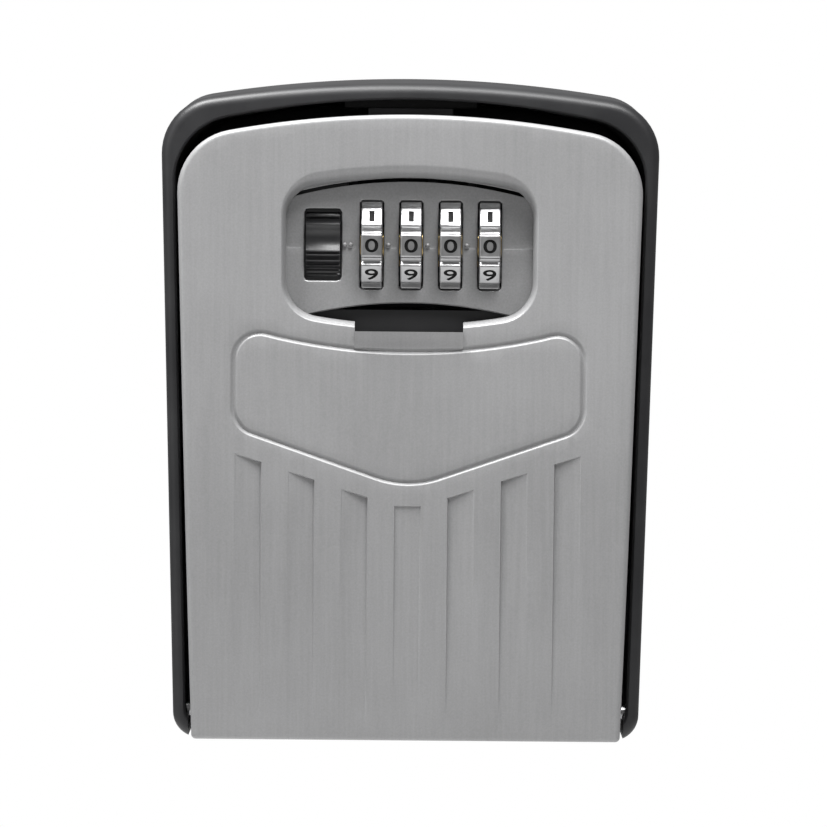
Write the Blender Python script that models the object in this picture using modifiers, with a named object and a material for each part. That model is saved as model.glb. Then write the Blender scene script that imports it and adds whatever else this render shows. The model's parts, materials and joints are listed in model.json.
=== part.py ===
"""Wall key cabinet with a four-wheel combination lock in its drop-down door.

Frame: X to the right, Z up, the wall plane at y = 0 and the front towards -Y.
The origin is the centre of the back face. The lengths below are in millimetres,
and every builder turns them into metres with MM.
"""

import math

import bmesh
import bpy
from mathutils import Matrix

MM = 0.001
GAP = 0.3
PIN_SIDES = 24
FLAT = 1.0e5

# Overall form
CABINET_TOP = 70.0
CABINET_BOTTOM = -70.0
WALL_PLANE = 0.0
RIM_FRONT = -38.0
SIDE_LEAN = 0.0205

# Housing: half widths at z = 0, and the arches as (apex z, arch radius, corner radius)
HOUSING_REAR_HALF = 51.4
HOUSING_FRONT_HALF = 50.9
HOUSING_REAR_TOP = (CABINET_TOP, 300.0, 12.2)
HOUSING_FRONT_TOP = (CABINET_TOP - 1.6, 280.0, 12.0)
HOUSING_FOOT = (CABINET_BOTTOM, FLAT, 5.5)
BACK_THICKNESS = 2.5
CAVITY_HALF = 48.2
CAVITY_LEAN = 0.0256
CAVITY_TOP = (65.3, 190.0, 11.5)
CAVITY_FOOT = (-67.4, FLAT, 2.0)
FOOT_WALL_FRONT = -24.0
FOOT_NOTCH_HALF = 46.0
STRIKE_HALF = 14.0
STRIKE_FRONT = -33.6
STRIKE_REAR = -30.9
STRIKE_FOOT = 63.3
WALL_HOLE_X = 30.0
WALL_HOLE_ZS = (46.0, -46.0)
WALL_HOLE_RADIUS = 2.7
WALL_HOLE_SINK_RADIUS = 4.8

# Hinge
HINGE_Y = -31.0
HINGE_Z = -64.5
HINGE_PIN_RADIUS = 1.5
HINGE_PIN_HALF = 48.9
KNUCKLE_RADIUS = 4.0
KNUCKLE_INNER_X = 36.0
KNUCKLE_OUTER_X = 44.0

# Door
DOOR_FACE = -47.6
DOOR_REAR = -27.0
DOOR_WALL = 2.4
DOOR_HALF = 47.05
DOOR_LEAN = 0.0286
DOOR_TOP = (62.35, 200.0, 11.5)
DOOR_FOOT = (-69.5, FLAT, 1.0)
FACE_LEAN_FROM = 5.0
FACE_LEAN_DEPTH = 4.7

# Window in the door: outlines on the face and at the dial plate
WINDOW_FACE = (26.6, 0.006, (51.6, 118.0, 9.0), (17.0, 118.0, 8.5))
WINDOW_PLATE = (25.6, 0.004, (48.7, 118.0, 7.0), (18.2, 118.0, 7.5))
COLLAR_WALL = 2.0
PULL_HALF = 11.3
PULL_PROFILE = ((1.2, 17.7), (1.2, 12.8), (0.0, 12.8), (-0.3, 14.8), (-0.8, 16.6), (-1.2, 17.7))

# Relief on the door's face
SHIELD_TOP_Z = 13.0
SHIELD_SHOULDER_Z = 17.2
SHIELD_SIDE_X = 36.4
SHIELD_SIDE_FOOT_Z = -4.0
SHIELD_APEX_Z = -15.6
SHIELD_CORNER = 5.5
SHIELD_GROOVE = 0.9
RELIEF_DEPTH = 0.5
FLUTE_COUNT = 7
FLUTE_PITCH = 11.1
FLUTE_WIDTH = 5.6
FLUTE_CENTRE_TOP = -20.3
FLUTE_TOP_SLOPE = 0.325
FLUTE_FOOT = -66.0

# Combination wheels
DIAL_Z = 34.7
PLATE_FACE = -43.2
PLATE_THICKNESS = 1.4
WHEEL_AXIS_DEPTH = 6.1
DIAL_Y = PLATE_FACE + WHEEL_AXIS_DEPTH
WHEEL_COUNT = 4
WHEEL_PITCH = 8.2
FIRST_WHEEL_X = -7.9
WHEEL_WIDTH = 4.5
DIGITS = 10
PAD_RADIUS = 10.3
PAD_HALF_ANGLE = math.radians(13.2)
GROOVE_RADIUS = 9.5
WHEEL_BORE = 3.9
SHAFT_RADIUS = 1.0
CAM_BORE = 1.3
CAM_RADIUS = 4.3
CAM_THICKNESS = 2.2
CAM_OFFSET = -3.7
CAM_HUB_RADIUS = 3.6
GATE_FLOOR = 1.9
GATE_WIDTH = 2.4
KEY_WIDTH = 1.6
KEY_HEIGHT = 1.2

# Dial plate
PLATE_HALF = 28.2
PLATE_TOP = (51.4, 118.0)
PLATE_FOOT = (22.6, 88.0)
SLOT_WIDTH = 5.0
SLOT_HALF_HEIGHT = 9.3
SLIDER_X = -18.1
SLIDER_WINDOW = (7.8, 15.0)

# Release slider and latch
SLIDER_FRONT = PLATE_FACE + PLATE_THICKNESS + 0.4
SLIDER_BASE_THICKNESS = 1.4
SLIDER_BASE_HALF = 5.2
SLIDER_BASE_Z = (24.6, 51.4)
THUMB_HALF = 3.5
THUMB_Z = (33.2, 39.4)
THUMB_FRONT = -44.4
RIB_COUNT = 4
RIB_PITCH = 1.3
WEB_Z = (48.4, 50.8)
WEB_X = (-24.0, 24.0)
WEB_Y = (-39.7, -27.8)
TOOTH_HALF = 0.8
TOOTH_WIDTH_X = 1.8
TOOTH_FOOT = DIAL_Z + CAM_RADIUS + GAP
NOSE_HALF = 9.0
NOSE_Y = (-30.2, -27.8)
NOSE_TOP = 64.9

# Lock case and rear cover
CASE_HALF = 27.0
CASE_WALL = 1.6
CASE_Z = (19.5, 57.4)
CASE_Y = (-41.3, -25.2)
CHEEK_X = (-15.5, -13.5)
CHEEK_Y = (-39.2, -25.4)
CHEEK_TOP = 45.5
APRON_FOOT = 15.6
APRON_HALF = 24.0
LUG_X = 31.8
LUG_ZS = (25.0, 52.0)
LUG_RADIUS = 3.4
COVER_Y = (-24.9, -23.3)
COVER_Z = (17.0, 58.6)
COVER_HALF = 35.6
SCREW_RADIUS = 1.3
SCREW_HEAD_RADIUS = 2.6
SCREW_HEAD_HEIGHT = 1.5
SCREW_TIP = -42.2

# Springs
RETURN_SPRING = (-20.2, -34.0)
RETURN_SPRING_Z = (30.3, 48.1)
RETURN_SPRING_RADIUS = 2.3
WIRE_RADIUS = 0.35
SHAFT_SPRING_X = (20.0, 25.1)
SHAFT_SPRING_RADIUS = 3.0
LEAF_Y = (-25.8, -25.3)
LEAF_Z = (22.4, 37.0)
LEAF_FINGER_HALF = 1.5
LEAF_STRIP_TOP = 25.6

# Code-change lever on the rear cover
LEVER_PIVOT = (18.0, 27.0)
LEVER_Y = (-22.9, -21.5)
LEVER_LENGTH = 15.0
LEVER_HUB_RADIUS = 3.2
LEVER_PIN_RADIUS = 1.2

SILVER_PAINT = ("silver_paint", (0.38, 0.38, 0.385), 0.42, 0.35)
BLACK_PAINT = ("black_paint", (0.03, 0.03, 0.032), 0.5, 0.0)
BLACK_PLASTIC = ("black_plastic", (0.018, 0.018, 0.02), 0.45, 0.0)
BRIGHT_CHROME = ("bright_chrome", (0.75, 0.75, 0.77), 0.12, 1.0)
PLAIN_STEEL = ("plain_steel", (0.55, 0.55, 0.56), 0.3, 1.0)
BRASS = ("brass", (0.72, 0.53, 0.24), 0.3, 1.0)

# Local axes of a prism's outline: where its x, y and extrusion point in the cabinet's frame
FRONT = Matrix(((1, 0, 0), (0, 0, -1), (0, 1, 0))).to_4x4()
SIDE = Matrix(((0, 0, 1), (1, 0, 0), (0, 1, 0))).to_4x4()


# ---------------------------------------------------------------- modelling helpers

def clear_scene():
    for obj in list(bpy.data.objects):
        bpy.data.objects.remove(obj)


def collection_for(name):
    made = bpy.data.collections.new(name)
    bpy.context.scene.collection.children.link(made)
    return made


def new_object(name, data):
    obj = bpy.data.objects.new(name, data)
    bpy.context.scene.collection.objects.link(obj)
    return obj


def bake(obj):
    """Replaces an object's data with the mesh that its curve or modifiers make, in world space."""
    graph = bpy.context.evaluated_depsgraph_get()
    mesh = bpy.data.meshes.new_from_object(obj.evaluated_get(graph))
    mesh.transform(obj.matrix_world)
    made = new_object("baked", mesh)
    name = obj.name
    bpy.data.objects.remove(obj)
    made.name = name
    shape = bmesh.new()
    shape.from_mesh(mesh)
    bmesh.ops.remove_doubles(shape, verts=shape.verts, dist=0.00001)
    bmesh.ops.recalc_face_normals(shape, faces=shape.faces)
    shape.to_mesh(mesh)
    shape.free()
    return made


def prism(name, outline, start, end, axes=FRONT):
    """A flat outline extruded between two places along Y (axes FRONT) or along X (axes SIDE)."""
    curve = bpy.data.curves.new(name, "CURVE")
    curve.dimensions = "2D"
    curve.fill_mode = "BOTH"
    curve.extrude = abs(end - start) / 2 * MM
    spline = curve.splines.new("POLY")
    spline.points.add(len(outline) - 1)
    for point, (u, v) in zip(spline.points, outline):
        point.co = (u * MM, v * MM, 0, 1)
    spline.use_cyclic_u = True
    obj = new_object(name, curve)
    along = -1 if axes is FRONT else 1
    obj.matrix_world = axes @ Matrix.Translation((0, 0, along * (start + end) / 2 * MM))
    bpy.context.view_layer.update()
    return bake(obj)


def loft(name, near, near_y, far, far_y):
    """A solid between two outlines with equally many points, at two depths."""
    shape = bmesh.new()
    loops = [
        [shape.verts.new((x * MM, y * MM, z * MM)) for x, z in outline]
        for outline, y in ((near, near_y), (far, far_y))
    ]
    shape.faces.new(loops[0])
    shape.faces.new(reversed(loops[1]))
    count = len(near)
    for i in range(count):
        j = (i + 1) % count
        shape.faces.new((loops[0][i], loops[0][j], loops[1][j], loops[1][i]))
    bmesh.ops.recalc_face_normals(shape, faces=shape.faces)
    mesh = bpy.data.meshes.new(name)
    shape.to_mesh(mesh)
    shape.free()
    return new_object(name, mesh)


def block(name, x, y, z):
    """A box between pairs of X, Y and Z places."""
    shape = bmesh.new()
    bmesh.ops.create_cube(shape, size=1.0)
    for vert in shape.verts:
        vert.co = [
            (low + (high - low) * (place + 0.5)) * MM
            for place, (low, high) in zip(vert.co, (x, y, z))
        ]
    mesh = bpy.data.meshes.new(name)
    shape.to_mesh(mesh)
    shape.free()
    return new_object(name, mesh)


def rod(name, radius, centre, length, axis, end_radius=None, sides=PIN_SIDES):
    """A cylinder or cone about X, Y or Z. end_radius is at the high end of the axis."""
    shape = bmesh.new()
    bmesh.ops.create_cone(
        shape,
        cap_ends=True,
        segments=sides,
        radius1=radius * MM,
        radius2=(radius if end_radius is None else end_radius) * MM,
        depth=length * MM,
    )
    turn = {
        "X": Matrix.Rotation(math.pi / 2, 4, "Y"),
        "Y": Matrix.Rotation(-math.pi / 2, 4, "X"),
        "Z": Matrix.Identity(4),
    }[axis]
    place = Matrix.Translation([value * MM for value in centre])
    mesh = bpy.data.meshes.new(name)
    shape.to_mesh(mesh)
    shape.free()
    mesh.transform(place @ turn)
    return new_object(name, mesh)


def turned(name, profile, centre, sides=PIN_SIDES):
    """A shape turned about an axis along -Y: profile is (radius, distance towards the front)."""
    mesh = bpy.data.meshes.new(name)
    points = [(radius * MM, 0, height * MM) for radius, height in profile]
    mesh.from_pydata(points, [(i, i + 1) for i in range(len(points) - 1)], [])
    obj = new_object(name, mesh)
    spin = obj.modifiers.new("turn", "SCREW")
    spin.steps = sides
    spin.render_steps = sides
    spin.use_merge_vertices = True
    spin.merge_threshold = 0.00001
    to_front = Matrix.Rotation(math.pi / 2, 4, "X")
    obj.matrix_world = Matrix.Translation([value * MM for value in centre]) @ to_front
    bpy.context.view_layer.update()
    return bake(obj)


def coil(name, radius, turns, start, end, centre, axis, steps=12):
    """A wire helix between two places along X or Z."""
    curve = bpy.data.curves.new(name, "CURVE")
    curve.dimensions = "3D"
    curve.bevel_depth = WIRE_RADIUS * MM
    curve.bevel_resolution = 2
    curve.use_fill_caps = True
    spline = curve.splines.new("POLY")
    count = turns * steps
    spline.points.add(count)
    for i, point in enumerate(spline.points):
        angle = math.tau * i / steps
        along = start + (end - start) * i / count
        a, b = radius * math.cos(angle), radius * math.sin(angle)
        if axis == "Z":
            place = (centre[0] + a, centre[1] + b, along)
        else:
            place = (along, centre[0] + a, centre[1] + b)
        point.co = (*(value * MM for value in place), 1)
    return bake(new_object(name, curve))


def carve(base, cuts=(), joins=(), keeps=()):
    """Joins, intersects and cuts the base with other objects, and removes them."""
    steps = [("UNION", o) for o in joins]
    steps += [("INTERSECT", o) for o in keeps]
    steps += [("DIFFERENCE", o) for o in cuts]
    for operation, other in steps:
        change = base.modifiers.new(operation, "BOOLEAN")
        change.operation = operation
        change.solver = "EXACT"
        change.object = other
    result = bake(base)
    for _, other in steps:
        bpy.data.objects.remove(other)
    return result


def half_arch(half_width, lean, top, arch_steps, corner_steps):
    """The right half of an arched end, from the leaning side to the apex, with a rounded corner."""
    apex, arch, corner = top
    centre_z = apex - arch
    side_length = math.hypot(1, lean)
    inset = half_width - corner * side_length
    b = inset * lean - centre_z
    c = inset**2 + centre_z**2 - (arch - corner) ** 2
    corner_z = (-b + math.sqrt(b * b - side_length**2 * c)) / side_length**2
    corner_x = inset + lean * corner_z
    first = math.atan2(-lean, 1)
    last = math.atan2(corner_z - centre_z, corner_x)
    points = []
    for i in range(corner_steps + 1):
        angle = first + (last - first) * i / corner_steps
        points.append((corner_x + corner * math.cos(angle), corner_z + corner * math.sin(angle)))
    for i in range(1, arch_steps + 1):
        angle = last + (math.pi / 2 - last) * i / arch_steps
        points.append((arch * math.cos(angle), centre_z + arch * math.sin(angle)))
    return points


def arched_outline(half_width, lean, top, foot, arch_steps=6, corner_steps=5, foot_steps=3):
    """A panel's outline as (x, z): leaning sides, an arched top and an arched or flat foot."""
    apex, arch, corner = foot
    upper = half_arch(half_width, lean, top, arch_steps, corner_steps)
    foot_arch_steps = 1 if arch == FLAT else arch_steps
    lower = half_arch(half_width, -lean, (-apex, arch, corner), foot_arch_steps, foot_steps)
    right = [(x, -z) for x, z in reversed(lower)] + upper
    left = [(-x, z) for x, z in reversed(right[1:-1])]
    return right + left


def arc_drop(x, radius):
    """How far an arc has fallen from its apex at a distance x."""
    return radius - math.sqrt(radius**2 - x**2)


def rounded(corners, radius, steps=4):
    """A closed outline with each corner rounded, as an arc between its two tangent points."""
    points = []
    count = len(corners)
    for i, (x, z) in enumerate(corners):
        reaches = []
        for other in (corners[i - 1], corners[(i + 1) % count]):
            length = math.dist((x, z), other)
            reaches.append(((other[0] - x) / length, (other[1] - z) / length))
        (ax, az), (bx, bz) = reaches
        turn = math.acos(max(-1.0, min(1.0, ax * bx + az * bz)))
        reach = radius / math.tan(turn / 2)
        middle = math.hypot(ax + bx, az + bz)
        centre_reach = radius / math.sin(turn / 2)
        cx = x + (ax + bx) / middle * centre_reach
        cz = z + (az + bz) / middle * centre_reach
        start = math.atan2(z + az * reach - cz, x + ax * reach - cx)
        end = math.atan2(z + bz * reach - cz, x + bx * reach - cx)
        sweep = (end - start + math.pi) % math.tau - math.pi
        for k in range(steps + 1):
            angle = start + sweep * k / steps
            points.append((cx + radius * math.cos(angle), cz + radius * math.sin(angle)))
    return points


# ---------------------------------------------------------------- the housing

def face_y(z):
    """Depth of the door's face at a height: upright above, easing back towards the foot."""
    below = max(0.0, FACE_LEAN_FROM - z)
    return DOOR_FACE + FACE_LEAN_DEPTH * (below / (FACE_LEAN_FROM - CABINET_BOTTOM)) ** 2


def housing_shell():
    rear = arched_outline(
        HOUSING_REAR_HALF, SIDE_LEAN, HOUSING_REAR_TOP, HOUSING_FOOT, foot_steps=1
    )
    front = arched_outline(
        HOUSING_FRONT_HALF, CAVITY_LEAN, HOUSING_FRONT_TOP, HOUSING_FOOT, foot_steps=1
    )
    body = loft("housing_shell", rear, WALL_PLANE, front, RIM_FRONT)
    cavity_outline = arched_outline(CAVITY_HALF, CAVITY_LEAN, CAVITY_TOP, CAVITY_FOOT)
    cavity = prism("cavity", cavity_outline, -BACK_THICKNESS, RIM_FRONT - 6)
    foot_notch = block(
        "foot_notch",
        (-FOOT_NOTCH_HALF, FOOT_NOTCH_HALF),
        (RIM_FRONT - 6, FOOT_WALL_FRONT),
        (CABINET_BOTTOM - 4, -62.0),
    )
    body = carve(body, cuts=[cavity, foot_notch])
    strike = block(
        "strike",
        (-STRIKE_HALF, STRIKE_HALF),
        (STRIKE_FRONT, STRIKE_REAR),
        (STRIKE_FOOT, CAVITY_TOP[0] + 1.2),
    )
    pin_hole = rod("pin_hole", HINGE_PIN_RADIUS + GAP, (0, HINGE_Y, HINGE_Z), 120, "X")
    holes = []
    for x in (-WALL_HOLE_X, WALL_HOLE_X):
        for z in WALL_HOLE_ZS:
            holes.append(rod("hole", WALL_HOLE_RADIUS, (x, -2, z), 12, "Y", sides=20))
            sink_depth = 1.8
            holes.append(
                rod(
                    "sink",
                    WALL_HOLE_SINK_RADIUS + 0.5,
                    (x, -BACK_THICKNESS + sink_depth / 2 - 0.5, z),
                    sink_depth + 1.0,
                    "Y",
                    end_radius=WALL_HOLE_RADIUS - 0.5,
                    sides=20,
                )
            )
    return carve(body, cuts=[pin_hole, *holes], joins=[strike])


def hinge_pin():
    pin = rod("hinge_pin", HINGE_PIN_RADIUS, (0, HINGE_Y, HINGE_Z), 2 * HINGE_PIN_HALF, "X")
    ends = pin.modifiers.new("ends", "BEVEL")
    ends.width = 0.3 * MM
    ends.segments = 1
    ends.limit_method = "ANGLE"
    return bake(pin)


# ---------------------------------------------------------------- the door

def depth_prism(name, offset):
    """Everything behind the door's face, moved back by an offset, across the whole width."""
    steps = 14
    heights = [-80 + 160 * i / steps for i in range(steps + 1)]
    outline = [(face_y(z) + offset, z) for z in heights]
    outline += [(0.0, 80.0), (0.0, -80.0)]
    return prism(name, outline, -60, 60, SIDE)


def shield_outline(grow=0.0):
    """The shield panel: a hollow-arched top, upright sides and a shallow V below, rounded."""
    side = SHIELD_SIDE_X + grow
    fall = SHIELD_SHOULDER_Z - SHIELD_TOP_Z
    top_z = SHIELD_TOP_Z + grow
    top = []
    count = 8
    for i in range(1, count):
        x = side - 2 * side * i / count
        top.append((x, top_z + fall * (x / side) ** 2))
    corners = [
        (side, SHIELD_SIDE_FOOT_Z - 0.2 * grow),
        (side, top_z + fall),
        (-side, top_z + fall),
        (-side, SHIELD_SIDE_FOOT_Z - 0.2 * grow),
        (0, SHIELD_APEX_Z - grow),
    ]
    corner_steps = 4
    turned_corners = rounded(corners, SHIELD_CORNER + grow, corner_steps)
    first_corners = 2 * (corner_steps + 1)
    return turned_corners[:first_corners] + top[1:-1] + turned_corners[first_corners:]


def relief_cutters():
    """The V of seven flutes under the shield, each running out into the face at its foot."""
    cutters = []
    for i in range(FLUTE_COUNT):
        x = (i - (FLUTE_COUNT - 1) / 2) * FLUTE_PITCH
        left, right = x - FLUTE_WIDTH / 2, x + FLUTE_WIDTH / 2
        tops = [FLUTE_CENTRE_TOP + FLUTE_TOP_SLOPE * max(0, abs(e) - 3) for e in (left, right)]
        outline = [(left, FLUTE_FOOT), (right, FLUTE_FOOT), (right, tops[1]), (left, tops[0])]
        cutter = prism("flute", outline, DOOR_FACE - 6, DOOR_FACE + 20)
        floor_top = face_y(tops[0]) + RELIEF_DEPTH
        floor_foot = face_y(FLUTE_FOOT) - 0.2
        floor = [
            (floor_top, max(tops) + 1),
            (floor_foot, FLUTE_FOOT - 1),
            (DOOR_FACE - 8, FLUTE_FOOT - 1),
            (DOOR_FACE - 8, max(tops) + 1),
        ]
        keep = prism("flute_floor", floor, left - 2, right + 2, SIDE)
        cutters.append(carve(cutter, keeps=[keep]))
    return cutters


def shield_cutter():
    ring = prism("shield", shield_outline(), DOOR_FACE - 4, DOOR_FACE + RELIEF_DEPTH + 0.2)
    core = prism("core", shield_outline(-SHIELD_GROOVE), DOOR_FACE - 9, DOOR_FACE + 9)
    return carve(ring, cuts=[core])


def door_shell():
    outline = arched_outline(DOOR_HALF, DOOR_LEAN, DOOR_TOP, DOOR_FOOT)
    body = prism("door_shell", outline, DOOR_FACE - 6, DOOR_REAR)
    body = carve(body, keeps=[depth_prism("face", 0.0)])
    top, foot = DOOR_TOP, DOOR_FOOT
    inner = arched_outline(
        DOOR_HALF - DOOR_WALL,
        DOOR_LEAN,
        (top[0] - DOOR_WALL, top[1], top[2] - DOOR_WALL),
        (foot[0] + DOOR_WALL, FLAT, foot[2]),
    )
    hollow = prism("hollow", inner, DOOR_FACE - 6, DOOR_REAR + 6)
    hollow = carve(hollow, keeps=[depth_prism("inner_face", DOOR_WALL)])
    body = carve(body, cuts=[hollow])
    collar_width, collar_lean, collar_top, collar_foot = WINDOW_PLATE
    collar = prism(
        "collar",
        arched_outline(
            collar_width + COLLAR_WALL,
            collar_lean,
            (collar_top[0] + COLLAR_WALL, collar_top[1], collar_top[2] + COLLAR_WALL),
            (collar_foot[0] - COLLAR_WALL, collar_foot[1], collar_foot[2] + COLLAR_WALL),
            corner_steps=4,
            foot_steps=4,
        ),
        DOOR_FACE + 1.0,
        PLATE_FACE - GAP,
    )
    window = loft(
        "window",
        arched_outline(*WINDOW_FACE, corner_steps=4, foot_steps=4),
        DOOR_FACE - 0.01,
        arched_outline(*WINDOW_PLATE, corner_steps=4, foot_steps=4),
        PLATE_FACE + GAP,
    )
    pull_outline = [(DOOR_FACE + step, z) for step, z in PULL_PROFILE]
    pull_lip = prism("pull_lip", pull_outline, -PULL_HALF, PULL_HALF, SIDE)
    nose_slot = block(
        "nose_slot",
        (-NOSE_HALF - 0.6, NOSE_HALF + 0.6),
        (NOSE_Y[0] - 0.5, DOOR_REAR + 2),
        (DOOR_TOP[0] - 6, DOOR_TOP[0] + 4),
    )
    boss_foot, boss_top = DOOR_FACE + DOOR_WALL - 0.6, CASE_Y[0] - GAP
    bosses = [
        rod("boss", LUG_RADIUS, (x, (boss_foot + boss_top) / 2, z), boss_top - boss_foot, "Y", sides=20)
        for x in (-LUG_X, LUG_X)
        for z in LUG_ZS
    ]
    boss_bores = [
        rod("bore", SCREW_RADIUS + GAP, (x, CASE_Y[0], z), 4.0, "Y", sides=16)
        for x in (-LUG_X, LUG_X)
        for z in LUG_ZS
    ]
    knuckle_length = KNUCKLE_OUTER_X - KNUCKLE_INNER_X
    knuckle_middle = (KNUCKLE_OUTER_X + KNUCKLE_INNER_X) / 2
    knuckles = [
        rod("knuckle", KNUCKLE_RADIUS, (x, HINGE_Y, HINGE_Z), knuckle_length, "X")
        for x in (-knuckle_middle, knuckle_middle)
    ]
    pin_hole = rod("pin_hole", HINGE_PIN_RADIUS + GAP, (0, HINGE_Y, HINGE_Z), 120, "X")
    body = carve(body, joins=[collar, *bosses, *knuckles])
    body = carve(body, cuts=[window, nose_slot, pin_hole, *boss_bores])
    body = carve(body, joins=[pull_lip])
    return carve(body, cuts=[shield_cutter(), *relief_cutters()])


def dial_plate():
    steps = 12
    xs = [-PLATE_HALF + 2 * PLATE_HALF * i / steps for i in range(steps + 1)]
    top = [(x, PLATE_TOP[0] - arc_drop(x, PLATE_TOP[1])) for x in xs]
    foot = [(x, PLATE_FOOT[0] - arc_drop(x, PLATE_FOOT[1])) for x in xs]
    plate = prism("dial_plate", top + foot[::-1], PLATE_FACE, PLATE_FACE + PLATE_THICKNESS)
    through = (PLATE_FACE - 4, PLATE_FACE + 4)
    cuts = []
    for x in wheel_places():
        low, high = DIAL_Z - SLOT_HALF_HEIGHT, DIAL_Z + SLOT_HALF_HEIGHT
        cuts.append(block("slot", (x - SLOT_WIDTH / 2, x + SLOT_WIDTH / 2), through, (low, high)))
    width, height = SLIDER_WINDOW
    cuts.append(
        block(
            "slider_window",
            (SLIDER_X - width / 2, SLIDER_X + width / 2),
            through,
            (DIAL_Z - height / 2, DIAL_Z + height / 2),
        )
    )
    return carve(plate, cuts=cuts)


# ---------------------------------------------------------------- the combination

def wheel_places():
    return [FIRST_WHEEL_X + WHEEL_PITCH * i for i in range(WHEEL_COUNT)]


def number_wheel_mesh():
    """One wheel about the X axis at the origin: ten flat pads with a groove between each two."""
    outline = []
    pad_corner = PAD_RADIUS / math.cos(PAD_HALF_ANGLE)
    step = math.tau / DIGITS
    for digit in range(DIGITS):
        middle = digit * step
        for angle, radius in (
            (middle - PAD_HALF_ANGLE, pad_corner),
            (middle + PAD_HALF_ANGLE, pad_corner),
            (middle + step / 2, GROOVE_RADIUS),
        ):
            outline.append((-radius * math.cos(angle), radius * math.sin(angle)))
    ring = prism("wheel", outline, -WHEEL_WIDTH / 2, WHEEL_WIDTH / 2, SIDE)
    bore = rod("bore", WHEEL_BORE, (0, 0, 0), 20, "X")
    keyway = block(
        "keyway",
        (-10, 10),
        (-KEY_WIDTH / 2 - GAP, KEY_WIDTH / 2 + GAP),
        (-CAM_HUB_RADIUS - KEY_HEIGHT - GAP, 0),
    )
    return carve(ring, cuts=[bore, keyway])


def wheel_cam_mesh():
    """The sleeve inside a wheel: a keyed hub and a flange with its gate on top.

    The second notch, a quarter turn round, lies between two digits, where the detent
    never leaves a wheel at rest.
    """
    flange = rod("cam", CAM_RADIUS, (CAM_OFFSET, 0, 0), CAM_THICKNESS, "X", sides=32)
    hub_start = CAM_OFFSET
    hub_end = WHEEL_WIDTH / 2 + 0.5
    hub_middle = (hub_start + hub_end) / 2
    hub = rod("hub", CAM_HUB_RADIUS, (hub_middle, 0, 0), hub_end - hub_start, "X")
    key = block(
        "key",
        (hub_start, WHEEL_WIDTH / 2),
        (-KEY_WIDTH / 2, KEY_WIDTH / 2),
        (-CAM_HUB_RADIUS - KEY_HEIGHT + GAP, -CAM_BORE - 1),
    )
    half = GATE_WIDTH / 2
    gate = block("gate", (-9, hub_start + CAM_THICKNESS / 2 + 0.2), (-half, half), (GATE_FLOOR, 12))
    relief = block(
        "relief", (-9, hub_start + CAM_THICKNESS / 2 + 0.2), (GATE_FLOOR, 12), (-half, half)
    )
    bore = rod("bore", CAM_BORE, (0, 0, 0), 30, "X")
    return carve(flange, cuts=[gate, relief, bore], joins=[hub, key])


def repeat_on_shaft(name, pattern):
    """Places a copy of a wheel or cam at each wheel's place, its origin on the shaft's axis."""
    copies = []
    for i, x in enumerate(wheel_places(), start=1):
        copy = new_object(f"{name}_{i}", pattern.data)
        copy.location = (x * MM, DIAL_Y * MM, DIAL_Z * MM)
        copies.append(copy)
    bpy.data.objects.remove(pattern)
    return copies


def dial_shaft():
    start, end = CHEEK_X[0] - 0.6, CASE_HALF - 0.2
    return rod("dial_shaft", SHAFT_RADIUS, ((start + end) / 2, DIAL_Y, DIAL_Z), end - start, "X")


def detent_spring():
    """A leaf comb screwed to the case's floor, with one finger behind each wheel."""
    places = wheel_places()
    strip = block(
        "detent_spring",
        (places[0] - 3.0, places[-1] + 3.0),
        LEAF_Y,
        (LEAF_Z[0], LEAF_STRIP_TOP),
    )
    fingers = [
        block("finger", (x - LEAF_FINGER_HALF, x + LEAF_FINGER_HALF), LEAF_Y, (LEAF_Z[0] + 1, LEAF_Z[1]))
        for x in places
    ]
    return carve(strip, joins=fingers)


# ---------------------------------------------------------------- the release

def release_slider():
    x = (SLIDER_X - SLIDER_BASE_HALF, SLIDER_X + SLIDER_BASE_HALF)
    back = SLIDER_FRONT + SLIDER_BASE_THICKNESS
    base = block("release_slider", x, (SLIDER_FRONT, back), SLIDER_BASE_Z)
    profile = [
        (SLIDER_FRONT + 0.5, THUMB_Z[0]),
        (SLIDER_FRONT + 0.5, THUMB_Z[1] + 0.5),
        (THUMB_FRONT, THUMB_Z[1]),
        (THUMB_FRONT + 0.9, THUMB_Z[1] - 1.6),
        (THUMB_FRONT + 1.1, (THUMB_Z[0] + THUMB_Z[1]) / 2),
        (THUMB_FRONT + 0.6, THUMB_Z[0] + 1.2),
        (THUMB_FRONT, THUMB_Z[0]),
    ]
    thumb = prism("thumb", profile, SLIDER_X - THUMB_HALF, SLIDER_X + THUMB_HALF, SIDE)
    grooves = []
    for i in range(RIB_COUNT):
        z = THUMB_Z[0] - 0.8 - RIB_PITCH * i
        grooves.append(
            block(
                "groove",
                (SLIDER_X - THUMB_HALF, SLIDER_X + THUMB_HALF),
                (SLIDER_FRONT - 2, SLIDER_FRONT + 0.5),
                (z - 0.35, z + 0.35),
            )
        )
    return carve(base, cuts=grooves, joins=[thumb])


def latch_bolt():
    """A bridge over the wheels with a nose through the door's top and a tooth for each cam."""
    web = block("latch_bolt", WEB_X, WEB_Y, WEB_Z)
    nose = block("nose", (-NOSE_HALF, NOSE_HALF), NOSE_Y, (WEB_Z[0] + 0.4, NOSE_TOP))
    teeth = []
    for x in wheel_places():
        middle = x + CAM_OFFSET
        teeth.append(
            block(
                "tooth",
                (middle - TOOTH_WIDTH_X / 2, middle + TOOTH_WIDTH_X / 2),
                (DIAL_Y - TOOTH_HALF, DIAL_Y + TOOTH_HALF),
                (TOOTH_FOOT, WEB_Z[0] + 0.6),
            )
        )
    return carve(web, joins=[nose, *teeth])


# ---------------------------------------------------------------- case, cover and fasteners

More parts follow.
